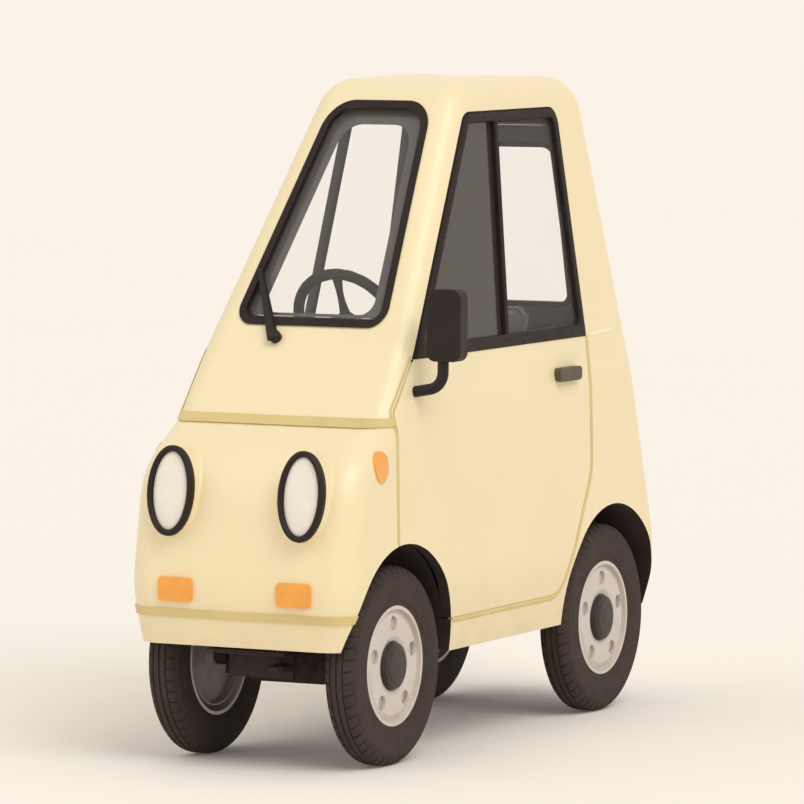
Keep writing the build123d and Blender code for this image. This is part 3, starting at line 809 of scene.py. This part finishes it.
# %% Window panes
pane_overlap, waist_round, top_round, bar_round = 0.003, 0.006, 0.026, 0.002
pane_outer, pane_inner = 0.012, 0.017
pane_edge = inset_corners(window, [frame_band - pane_overlap] * 3 + [frame_sill - pane_overlap])
front_low, front_high, rear_high, rear_low = [corner[:2] for corner in pane_edge]
bar_top = (bar_y(rear_high[1]), rear_high[1], bar_round)
bar_foot = (bar_y(rear_low[1]), rear_low[1], bar_round)
pane_shapes = {
    "front": [(*front_low, waist_round), (*front_high, top_round), bar_top, bar_foot],
    "rear": [bar_foot, bar_top, (*rear_high, top_round), (*rear_low, waist_round)],
}


def pane_form(corners):
    """A thin flat pane, set back behind the cabin's side."""
    loop = round_loop(corners, 6, 2)
    count = len(loop)
    points = [(cabin_side(y, z) - drop, y, z) for drop in (pane_outer, pane_inner) for y, z in loop]
    faces = [tuple(range(count)), tuple(range(2 * count - 1, count - 1, -1))]
    faces += [(k, (k + 1) % count, count + (k + 1) % count, count + k) for k in range(count)]
    return points, faces


# The left front pane's smoked tint is painted shade of the cabin seen through it.
for side, front_glass in (("left", painted_shade_glass), ("right", clear_glass)):
    on_this_side = flip if side == "right" else list
    made = add_piece("window_rubber_" + side, on_this_side(frame_points), frame_faces, rubber, "door_" + side)
    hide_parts("window_frame_" + side)
    for which, glass in (("front", front_glass), ("rear", clear_glass)):
        pane, pane_faces = pane_form(pane_shapes[which])
        made = add_piece(f"{which}_pane_{side}", on_this_side(pane), pane_faces, glass, "door_" + side)
        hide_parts("door_glass_" + side)
print("panes: 4")

# %% [markdown]
# ## The smoked edge of the windscreen, painted shade
#
# The windscreen is clear in the middle and smoked along its rim, widest at the
# top. That dark rim is painted shade, standing in for the shaded pillars and
# cabin seen through the glass. The rim is a thin ring just inside the glass. It
# follows the bent glass, so its depth comes from rays shot at the glass from in
# front.

# %% Smoked rim of painted shade
screen = [(0.152, 1.742, 0.084), (0.230, 1.152, 0.048), (-0.230, 1.152, 0.048), (-0.152, 1.742, 0.084)]
rim_outer = inset_corners(screen, [0.022] * 4)
rim_inner = inset_corners(screen, [0.058, 0.030, 0.058, 0.066])
rim_inner = [(x, z, r) for (x, z, _), r in zip(rim_inner, (0.062, 0.034, 0.034, 0.062))]
screen_middle, screen_pull_step, screen_pulls = Vector((0, 1.447)), 0.01, 30
screen_run = 0.73  # how far the glass runs back for each metre that it rises


def screen_depth(x, z):
    """How far forward the glass is. A point beside the glass is pulled in until a ray meets it."""
    spot = Vector((x, z))
    for pull in range(screen_pulls):
        share = 1 - screen_pull_step * pull
        here = screen_middle + (spot - screen_middle) * share
        hit = hit_at(screen_skin, (here.x, -2.0, here.y), (0, 1, 0))
        if hit:
            return hit.y + (1 - share) * (spot - screen_middle).y * screen_run
    return 0.0


rim_section = [(0.0, 0.0085), (0.0, 0.0098), (1.0, 0.0098), (1.0, 0.0085)]
ring, ring_faces = band(
    round_loop(rim_outer, 10, 12), round_loop(rim_inner, 10, 12), rim_section, screen_depth, on_front
)
made = add_piece("windscreen_painted_shade_rim", ring, ring_faces, painted_shade_glass, "body")
print("smoked rim points:", len(ring))

# %% [markdown]
# ## Seals round the doors and the tailgate
#
# A khaki rubber seal sits on the body in front of, below and behind each door.
# Its khaki is painted shade, standing in for the shadow down in the shut gap.
# Its foot fills the shut gap and its lip lies flat on the body beside the gap,
# so from a step away it reads as a thin line that draws the door's shape. The
# section is that of a T with one arm, and it is swept along the door's outline.

# %% Door seals
lip = [
    (0.0012, -0.011), (0.0054, -0.011), (0.0056, -0.0006), (0.0145, -0.0006),
    (0.0145, 0.0008), (0.0135, 0.0018), (0.0085, 0.0023), (0.0030, 0.0018), (0.0012, 0.0006),
]
beside_gap = (0.009, 0.013)


def lipped_seal(line, level_at, section, outward):
    """A section swept along a line, as (distance out from the line, height above the skin) pairs."""
    rows = []
    for k, here in enumerate(line):
        along = (line[min(k + 1, len(line) - 1)] - line[max(k - 1, 0)]).normalized()
        across = Vector((-along.y, along.x)) * outward
        hits = [level_at(*(here + across * reach)) for reach in beside_gap]
        rows.append((here, across, [hit for hit in hits if hit is not None]))
    levels = [sum(hits) / len(hits) if hits else None for _, _, hits in rows]
    known = [level for level in levels if level is not None]
    for k, level in enumerate(levels):
        if level is None:
            levels[k] = levels[k - 1] if k and levels[k - 1] is not None else known[0]
    points = []
    for k, (here, across, _) in enumerate(rows):
        near = levels[max(0, k - 1) : k + 2]
        for out, height in section:
            spot = here + across * out
            points.append((spot.x, spot.y, sum(near) / len(near) + height))
    faces = grid_faces(len(rows), len(section), close_columns=True)
    last = len(points) - len(section)
    faces += [tuple(range(len(section))), tuple(last + k for k in range(len(section)))]
    return points, faces


front_edge, bottom_edge, seal_top, arch_gap = -0.650, 0.366, waist + 0.001, 0.006
arch_top = arch_z + math.sqrt(arch_radius**2 - (front_edge - front_y) ** 2)
arch_rear = front_y + math.sqrt(arch_radius**2 - (bottom_edge - arch_z) ** 2)
door_lines = {
    "front": [(-0.5305, seal_top, 0), (front_edge, 0.935, 0.04), (front_edge, arch_top + arch_gap, 0)],
    "rear": [
        (arch_rear + 0.008, bottom_edge, 0), (0.335, bottom_edge, 0.09), (0.516, 0.700, 0.15),
        (0.510, seal_top, 0),
    ],
}
# The khaki door seals are painted shade of the shut gaps.
for part, corners in door_lines.items():
    strip, faces = lipped_seal(round_corners(corners), side_x, lip, -1)
    add_pair("door_seal_" + part, [on_side(*spot) for spot in strip], faces, khaki)
    print("door seal", part, "points:", len(strip))

# %% [markdown]
# The tailgate has a seal of the same khaki rubber, again painted shade of the
# gap, but as one closed ring down in its gap, so it is a band between two loops.
# Rays on both sides of the gap give the skin's depth there, because a ray into
# the gap itself would miss.

# %% Tailgate seal
gate = [(0.222, 0.560, 0.05), (0.180, 1.650, 0.06), (-0.180, 1.650, 0.06), (-0.222, 0.560, 0.05)]
gate_section = [(0.0, -0.002), (0.5, -0.0012), (1.0, -0.002), (1.0, -0.014), (0.0, -0.014)]
gate_middle, gap_clear, rear_wall = Vector((0, 1.10)), 0.012, 0.6


def grown(corners, out):
    """The corners moved outwards, with their rounds grown as much."""
    moved = inset_corners(corners, [-out] * len(corners))
    return [(x, z, corner[2] + out) for (x, z, _), corner in zip(moved, corners)]


def gate_level(x, z):
    """The rear skin beside the tailgate's gap, averaged from both sides of it."""
    away = (Vector((x, z)) - gate_middle).normalized() * gap_clear
    hits = [rear_depth(x + side * away.x, z + side * away.y) for side in (-1, 1)]
    hits = [hit for hit in hits if hit is not None and hit > rear_wall]
    return sum(hits) / len(hits)


seal_outer, seal_inner = round_loop(grown(gate, 0.006), 10, 24), round_loop(grown(gate, 0.001), 10, 24)
ring, ring_faces = band(seal_outer, seal_inner, gate_section, gate_level, on_front)
made = add_piece("tailgate_seal", ring, ring_faces, khaki, "body", 50)
print("tailgate seal points:", len(ring))

# %% [markdown]
# Behind each door a short pale bead runs on along the waist. Its paint is
# lighter than the body's cream, a painted highlight along the shoulder there.
# It is swept like the door seals, but lies flat on the skin, with a crowned
# section.

# %% Waist bead
bead = [
    (-0.0065, -0.002), (0.0065, -0.002), (0.0055, 0.0014), (0.0030, 0.0032), (0.0, 0.0038), (-0.0030, 0.0032),
    (-0.0055, 0.0014),
]
bead_start, bead_step, bead_points = Vector((0.5315, 1.0735)), Vector((0.010, 0.0004)), 17
bead_line = [bead_start + bead_step * k for k in range(bead_points)]
strip, faces = lipped_seal(bead_line, side_x, bead, 1)
add_pair("waist_bead", [on_side(*spot) for spot in strip], faces, painted_highlight_cream)
print("waist beads: 2")

# %% [markdown]
# ## Headlamps
#
# An oval lamp stands on the sloping nose. It has three parts: a cream pod that
# grows out of the nose, a black rubber ring with a round lip, and a domed lens
# of frosted glass with shallow upright flutes. The pod is swept from the ring
# back along the lamp's axis until a ray meets the nose, so it always closes on
# the paint. The lens is a fine grid on an oval, because its flutes are real
# ridges that catch the light.

# %% Shape of a headlamp
lamp_x, lamp_y, lamp_z, lamp_lean = 0.195, -0.950, 0.738, math.radians(8)
lamp_back = Vector((0, math.cos(lamp_lean), -math.sin(lamp_lean)))
lamp_up = Vector((0, math.sin(lamp_lean), math.cos(lamp_lean)))
half_w, half_h, rim_w = 0.068, 0.120, 0.017
oval_turns = whole_turn(96)


def oval(centre, grow, depth, turn):
    """A point on the lamp's oval, grown by grow and set back by depth."""
    wide, high = (half_w + grow) * math.cos(turn), (half_h + grow) * math.sin(turn)
    return centre + across_car * wide + lamp_up * high + lamp_back * depth


print("lamp oval:", 2 * half_w, "x", 2 * half_h, "m")

# %% Sections of the ring and the pod
ring_section = [
    (-0.0010, 0.024), (0.0, 0.016), (-0.0005, 0.006), (-0.0030, 0.0018), (-0.0065, 0.0002), (-0.0105, 0.0004),
    (-0.0140, 0.0022), (-0.0165, 0.0060), (-0.0170, 0.0120), (-0.0170, 0.024),
]
pod_section = [
    (0, -0.0030), (0.02, -0.0016), (0.25, -0.0010), (0.6, 0.0), (0.82, 0.0025), (0.94, 0.0065), (1.0, 0.0115),
    (1.06, 0.0125),
]
pod_start, pod_sink, pod_least = 0.013, 0.002, 0.016
spread_tries = (0.010, 0.006, 0.003)


def nose_reach(centre, turn):
    """How far back along the lamp's axis the nose is. A ray beside the nose is tried again closer in."""
    for grow in spread_tries:
        hit = hit_at(nose_skin, oval(centre, grow, -0.05, turn), lamp_back)
        if hit:
            return max(pod_least, (hit - oval(centre, grow, 0, turn)).dot(lamp_back))
    return pod_least


def pod_points(centre):
    """The pod, swept from behind the ring back into the nose."""
    points = []
    for turn in oval_turns:
        length = nose_reach(centre, turn) + pod_sink - pod_start
        points += [oval(centre, grow, pod_start + share * length, turn) for share, grow in pod_section]
    return points


# %% Domed and fluted lens
lens_rings, lens_overlap = 26, 0.001
lens_edge_depth, lens_dome, lens_tip = 0.0145, 0.0115, 0.003
flute_pitch, flute_height = 0.0085, 0.0004


def lens_points(centre):
    """The lens from its middle ring outwards, with the tip of the dome as its last point."""
    points = []
    for k in range(lens_rings):
        share = (k + 1) / lens_rings
        dome = lens_dome * math.sqrt(max(0.0, 1 - 0.96 * share**2))
        for turn in oval_turns:
            u = (half_w - rim_w + lens_overlap) * share * math.cos(turn)
            v = (half_h - rim_w + lens_overlap) * share * math.sin(turn)
            flute = flute_height * math.cos(2 * math.pi * u / flute_pitch) * min(1, (1 - share) * 8)
            depth = lens_edge_depth - dome + flute
            points.append(centre + across_car * u + lamp_up * v + lamp_back * depth)
    return points + [centre + lamp_back * lens_tip]


# %% Headlamp rings, pods and lenses
steps = len(oval_turns)
ring_faces = grid_faces(steps, len(ring_section), close_rows=True, close_columns=True)
pod_faces = grid_faces(steps, len(pod_section), close_rows=True)
lens_faces = grid_faces(lens_rings, steps, close_columns=True)
lens_faces += [(lens_rings * steps, (k + 1) % steps, k) for k in range(steps)]
for side, sign in (("left", 1), ("right", -1)):
    centre = Vector((sign * lamp_x, lamp_y, lamp_z))
    ring = [oval(centre, grow, depth, turn) for turn in oval_turns for grow, depth in ring_section]
    made = add_piece("headlamp_ring_" + side, ring, ring_faces, black_plastic, "body")
    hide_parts("headlamp_bezels")
    made = add_piece("headlamp_pod_" + side, pod_points(centre), pod_faces, cream, "body", 60)
    made = add_piece("headlamp_lens_" + side, lens_points(centre), lens_faces, lamp_glass, "body", 60)
    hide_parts("headlamp_lenses")
print("headlamps: 2")

# %% [markdown]
# ## Seat
#
# The seat is one padded cushion and one tall padded back in grey cloth. Cloth
# simulation makes their shape: a slightly small block is remeshed into even
# small cells, air pressure blows it up against the cloth's own stiffness, and
# the edges stay a little pulled in, as they do on a sewn cover. The sewn
# channels and the piping come after that, because the remeshing would smooth
# them away.

# %% Blow up a pad
pad_cap, voxel, edge_bevel = 0.014, 0.0075, 0.020
cloth_frames = 20


def apply_modifiers(made):
    """The mesh as its modifiers leave it, with none left on the piece."""
    depsgraph = bpy.context.evaluated_depsgraph_get()
    done = bpy.data.meshes.new_from_object(made.evaluated_get(depsgraph))
    made.modifiers.clear()
    old = made.data
    made.data = done
    bpy.data.meshes.remove(old)


def blow_up(made):
    """Air pressure swells the cloth. No point moves further than the cap."""
    start = [v.co.copy() for v in made.data.vertices]
    cloth = made.modifiers.new("cloth", "CLOTH")
    cloth.settings.use_pressure = True
    cloth.settings.uniform_pressure_force = 4.0
    cloth.settings.effector_weights.gravity = 0.0
    cloth.settings.quality = 6
    for step in range(1, cloth_frames + 1):
        bpy.context.scene.frame_set(step)
    apply_modifiers(made)
    bpy.context.scene.frame_set(1)
    for vertex, was in zip(made.data.vertices, start):
        move = vertex.co - was
        if move.length > pad_cap:
            vertex.co = was + move.normalized() * pad_cap


def soft_block(name, size):
    """A padded form that fills a box: remeshed, blown up as cloth and subdivided once."""
    shape = bmesh.new()
    bmesh.ops.create_cube(shape, size=1.0)
    bmesh.ops.scale(shape, vec=[max(0.01, side - 1.2 * pad_cap) for side in size], verts=shape.verts)
    bmesh.ops.bevel(shape, geom=shape.edges[:], offset=edge_bevel, segments=3, affect="EDGES")
    mesh = bpy.data.meshes.new(name)
    shape.to_mesh(mesh)
    shape.free()
    made = bpy.data.objects.new(name, mesh)
    bpy.context.scene.collection.objects.link(made)
    even = made.modifiers.new("even", "REMESH")
    even.mode, even.voxel_size = "VOXEL", voxel
    apply_modifiers(made)
    blow_up(made)
    finer = made.modifiers.new("finer", "SUBSURF")
    finer.levels = finer.render_levels = 1
    apply_modifiers(made)
    for vertex in made.data.vertices:
        for k in range(3):
            vertex.co[k] = max(-size[k] / 2, min(size[k] / 2, vertex.co[k]))
    return made


# %% Sewn channels and piping
seam_x, border_x = 0.062, 0.125
channel_depth, channel_width = 0.0045, 0.0055
cord_radius, cord_sink, cord_steps, cord_sides = 0.0035, 0.0015, 120, 8


def seam_lines(front, length_axis, border):
    """The pad's seams, each as a function of a point that gives its distance from the seam.

    front tells whether a point is on the face that is sat on or leant on.
    """
    return [
        lambda p: abs(abs(p.x) - seam_x) if front(p) and abs(p[length_axis]) < border else 1.0,
        lambda p: abs(abs(p[length_axis]) - border) if front(p) and abs(p.x) < border_x else 1.0,
        lambda p: abs(abs(p.x) - border_x) if front(p) and abs(p[length_axis]) < border else 1.0,
    ]


def sew(made, lines):
    """Press the seams into a pad as soft channels."""
    for vertex in made.data.vertices:
        for distance in lines:
            near = distance(vertex.co)
            if near < 3 * channel_width:
                vertex.co -= vertex.normal * channel_depth * math.exp(-((near / channel_width) ** 2))


def piping(made, height, axis):
    """A cord sewn round a pad, on the line where a flat cut at a height meets its side."""
    tree = BVHTree.FromPolygons(
        [v.co for v in made.data.vertices], [list(face.vertices) for face in made.data.polygons]
    )
    first, level = (along_car, up) if axis == 2 else (up, along_car)
    rows = []
    for turn in whole_turn(cord_steps):
        way = across_car * math.cos(turn) + first * math.sin(turn)
        hit = hit_at(tree, way * 2 + level * height, -way)
        if hit:
            rows.append((hit - way * cord_sink, way))
    points = [
        here + way * cord_radius * math.cos(angle) + level * cord_radius * math.sin(angle)
        for here, way in rows
        for angle in whole_turn(cord_sides)
    ]
    return points, grid_faces(len(rows), cord_sides, close_rows=True, close_columns=True)


# %% Seat cushion and back
pads = {
    "cushion": {
        "size": (0.322, 0.344, 0.086), "centre": (0, 0.155, 0.5653), "lean": 0,
        "thin_axis": 2, "cord_at": 0.018, "seams": seam_lines(lambda p: p.z > 0, 1, 0.135),
    },
    "back": {
        "size": (0.322, 0.086, 0.655), "centre": (0, 0.4429, 0.8493), "lean": -12,
        "thin_axis": 1, "cord_at": -0.018, "seams": seam_lines(lambda p: p.y < 0, 2, 0.285),
    },
}
for part, pad in pads.items():
    made = soft_block("seat_" + part + "_pad", pad["size"])
    sew(made, pad["seams"])
    cord_points, cord_faces = piping(made, pad["cord_at"], pad["thin_axis"])
    tilt = Matrix.Translation(pad["centre"]) @ Matrix.Rotation(math.radians(pad["lean"]), 4, "X")
    made.data.transform(tilt)
    made.data.materials.clear()
    made.data.materials.append(seat_cloth)
    made.data.shade_smooth()
    made.location = car_middle
    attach(made, "body")
    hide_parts("seat_" + part)
    cord_points = [tilt @ point for point in cord_points]
    cord = add_piece("seat_" + part + "_piping", cord_points, cord_faces, rubber, "body", 60)
    print("seat", part, "faces:", len(made.data.polygons))

# %% [markdown]
# ## Steering wheel, mirror glass and the front cross member
#
# The steering wheel has a thick moulded rim, with shallow ridges at its top and
# bottom, on three flat spokes. It is swept as a ring round a leaning axis. The
# mirror's glass is a thin plate with round corners on the head's rear face, and
# it swings with the door. The front cross member is a pressed steel channel
# that hides the axle beam between the wheels.

# %% Steering wheel
hub_at, column_lean = Vector((0, -0.310, 1.150)), math.radians(25)
toward = Vector((0, math.cos(column_lean), math.sin(column_lean)))
upright = toward.cross(across_car)
rim_steps, tube_steps, hub_steps, spoke_steps = 96, 16, 48, 7
rim_reach, rim_thick, ridge_height, ridges = 0.1452, 0.0150, 0.0006, 24
points = []
for turn in whole_turn(rim_steps):
    way = across_car * math.cos(turn) + upright * math.sin(turn)
    fade = 0.5 - 0.5 * math.cos(2 * turn)
    thick = rim_thick + ridge_height * math.cos(turn * ridges) * fade
    for angle in whole_turn(tube_steps):
        points.append(hub_at + way * (rim_reach + thick * math.cos(angle)) + toward * thick * math.sin(angle))
faces = grid_faces(rim_steps, tube_steps, close_rows=True, close_columns=True)


def join(more_points, more_faces):
    """More points and faces, added to the wheel's own."""
    start = len(points)
    points.extend(more_points)
    faces.extend(tuple(start + i for i in face) for face in more_faces)


hub_section = [
    (0.0004, 0.0125), (0.018, 0.012), (0.027, 0.009), (0.031, 0.003), (0.032, -0.008), (0.026, -0.013),
    (0.0104, -0.014), (0.0098, -0.11), (0.0004, -0.11),
]
hub = turned(hub_at, across_car, upright, toward, hub_section, hub_steps)
join(hub, grid_faces(hub_steps, len(hub_section), close_rows=True))

spoke_section = [(-1, -0.004), (-1, 0.001), (-0.7, 0.004), (0.7, 0.004), (1, 0.001), (1, -0.004)]
spoke_start, spoke_length, spoke_half, spoke_waist, spoke_dip = 0.024, 0.116, 0.016, 0.007, 0.004
for turn in (0, math.pi, -math.pi / 2):
    way = across_car * math.cos(turn) + upright * math.sin(turn)
    beside = toward.cross(way)
    spoke = []
    for k in range(spoke_steps):
        share = k / (spoke_steps - 1)
        bow = math.sin(math.pi * share)
        here = hub_at + way * (spoke_start + spoke_length * share)
        half, dip = spoke_half - spoke_waist * bow, spoke_dip * bow
        spoke += [here + beside * side * half + toward * (high - dip) for side, high in spoke_section]
    join(spoke, grid_faces(spoke_steps, len(spoke_section), close_columns=True))
made = add_piece("steering_wheel_rim", points, faces, wheel_grip, "steering_wheel", 40)
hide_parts("steering_wheel")
print("steering wheel faces:", len(faces))

# %% Mirror glass
mirror_corners = [(0.460, 1.252, 0.020), (0.460, 1.080, 0.020), (0.376, 1.080, 0.020), (0.376, 1.252, 0.020)]
mirror_middle = Vector((0.418, 1.166))
mirror_rows = [(0.0, -0.5195), (0.0, -0.5180), (0.03, -0.5174)]
loop = round_loop(mirror_corners, 6, 2)
points = []
for share, y in mirror_rows:
    drawn_in = [spot.lerp(mirror_middle, share) for spot in loop]
    points += [(spot.x, y, spot.y) for spot in drawn_in]
faces = grid_faces(len(mirror_rows), len(loop), close_columns=True)
faces.append(tuple(range(len(points) - len(loop), len(points))))
made = add_piece("mirror_glass", points, faces, mirror_face, "door_left", 30)
print("mirror glass faces:", len(faces))

# %% Front cross member
member_top = 0.296
half_member = [
    (-0.034, member_top), (-0.036, 0.270), (-0.036, 0.226), (-0.031, 0.212), (-0.022, 0.206), (-0.010, 0.206),
    (-0.006, 0.211),
]
member = half_member + [(-y, z) for y, z in reversed(half_member)]
stations = [(-0.134, 0.80), (-0.130, 0.88), (-0.100, 1.0), (0.100, 1.0), (0.130, 0.88), (0.134, 0.80)]
points = []
for x, pinch in stations:
    points += [(x, front_y + y * pinch, member_top - (member_top - z) * pinch) for y, z in member]
faces = grid_faces(len(stations), len(member), close_columns=True)
faces += [tuple(range(len(member))), tuple(len(points) - 1 - k for k in range(len(member)))]
made = add_piece("front_cross_member", points, faces, underbody, "body", 40)
print("cross member faces:", len(faces))

# %% [markdown]
# ## The wiper's pivot
#
# The wiper's arm turns on a short spindle under a rounded black cap. The cap is
# turned round the line that stands square on the leaning skin at the wiper's
# foot, so it sits flat there.

# %% Wiper pivot cap
foot = hit_at(skin_tree("nose_panel roof_shell windscreen_seal"), (-0.084, -2.0, 1.118), (0, 1, 0))
off_skin = Vector((0, -0.806, 0.593))
along_skin = off_skin.cross(across_car)
cap_section = [
    (0.0165, -0.003), (0.0165, 0.012), (0.0160, 0.0165), (0.0140, 0.0195), (0.0095, 0.0215), (0.0040, 0.0222),
    (0.0004, 0.0223),
]
cap_steps = 36
points = turned(foot, across_car, along_skin, off_skin, cap_section, cap_steps)
faces = grid_faces(cap_steps, len(cap_section), close_rows=True)
faces.append(tuple(len(cap_section) * k for k in range(cap_steps)))
made = add_piece("wiper_pivot_cap", points, faces, black_plastic, "body", 40)
print("wiper pivot at:", [round(v, 3) for v in foot])

# %% [markdown]
# ## The floor, the sky and the lamps
#
# The car stands in a plain pale studio. A broad sun lamp gives one soft shadow
# and lights the whole floor evenly, a weak one brightens the far side, and a
# white world fills in from all round. The world shows its own pale colour only
# to the camera, through glass and in reflections, so the backdrop stays pale
# without any more light on the car. The floor takes the same pale colour, and a
# faint glow of its own lifts it to meet the backdrop at the horizon.

# %% World
backdrop = linear("FCF3E8")
bpy.context.scene.view_settings.view_transform = "Standard"
world = bpy.data.worlds.new("studio")
bpy.context.scene.world = world
world.use_nodes = True
sky = world.node_tree


def seen_by_eye(tree):
    """1 for a ray from the camera, also by way of glass or gloss, and 0 for any other ray."""
    path = tree.nodes.new("ShaderNodeLightPath").outputs
    through = combine(tree, "MAXIMUM", path["Is Camera Ray"], path["Is Transmission Ray"])
    return combine(tree, "MAXIMUM", through, path["Is Glossy Ray"])


fill = sky.nodes["Background"]
fill.inputs["Color"].default_value = (1.0, 0.985, 0.965, 1)
fill.inputs["Strength"].default_value = 0.62
seen = add(sky, "ShaderNodeBackground", Color=backdrop, Strength=1.0)
choose = sky.nodes.new("ShaderNodeMixShader")
for k, socket in enumerate((seen_by_eye(sky), fill.outputs[0], seen.outputs[0])):
    wire(sky, socket, choose.inputs[k])
wire(sky, choose.outputs[0], sky.nodes["World Output"].inputs["Surface"])
print("world:", world.name)

# %% Lamps
def sun(name, strength, turn, height, softness):
    """A broad sun lamp from a compass turn and a height, both in degrees."""
    lamp = bpy.data.objects.new(name, bpy.data.lights.new(name, "SUN"))
    bpy.context.scene.collection.objects.link(lamp)
    lamp.data.energy = strength
    lamp.data.angle = math.radians(softness)
    a, e = math.radians(turn), math.radians(height)
    towards = Vector((math.sin(a) * math.cos(e), -math.cos(a) * math.cos(e), math.sin(e)))
    lamp.rotation_euler = towards.to_track_quat("Z", "Y").to_euler()


sun("key", strength=1.15, turn=62, height=48, softness=40)
sun("side_fill", strength=0.35, turn=-40, height=30, softness=60)
print("lamps:", len(bpy.data.lights))

# %% Floor
floor_lift, floor_half = 0.05, 60.0
floor_mesh = bpy.data.meshes.new("floor")
floor_corners = [(x * floor_half, y * floor_half, 0) for x, y in ((-1, -1), (1, -1), (1, 1), (-1, 1))]
floor_mesh.from_pydata(floor_corners, [], [(0, 1, 2, 3)])
floor = bpy.data.objects.new("floor", floor_mesh)
bpy.context.scene.collection.objects.link(floor)
paper = finish("floor_paper", "FBF3E9", rough=(0.9, 0.95), patch=(0.4, 0.995, 1.0), grain=None)
paper_tree = paper.node_tree
lift = combine(paper_tree, "MULTIPLY", seen_by_eye(paper_tree), floor_lift)
glow = add(paper_tree, "ShaderNodeEmission", Color=backdrop, Strength=lift)
both_lights = paper_tree.nodes.new("ShaderNodeAddShader")
wire(paper_tree, paper_tree.nodes["Principled BSDF"].outputs[0], both_lights.inputs[0])
wire(paper_tree, glow.outputs[0], both_lights.inputs[1])
wire(paper_tree, both_lights.outputs[0], paper_tree.nodes["Material Output"].inputs["Surface"])
floor.data.materials.append(paper)
print("floor:", 2 * floor_half, "m wide")
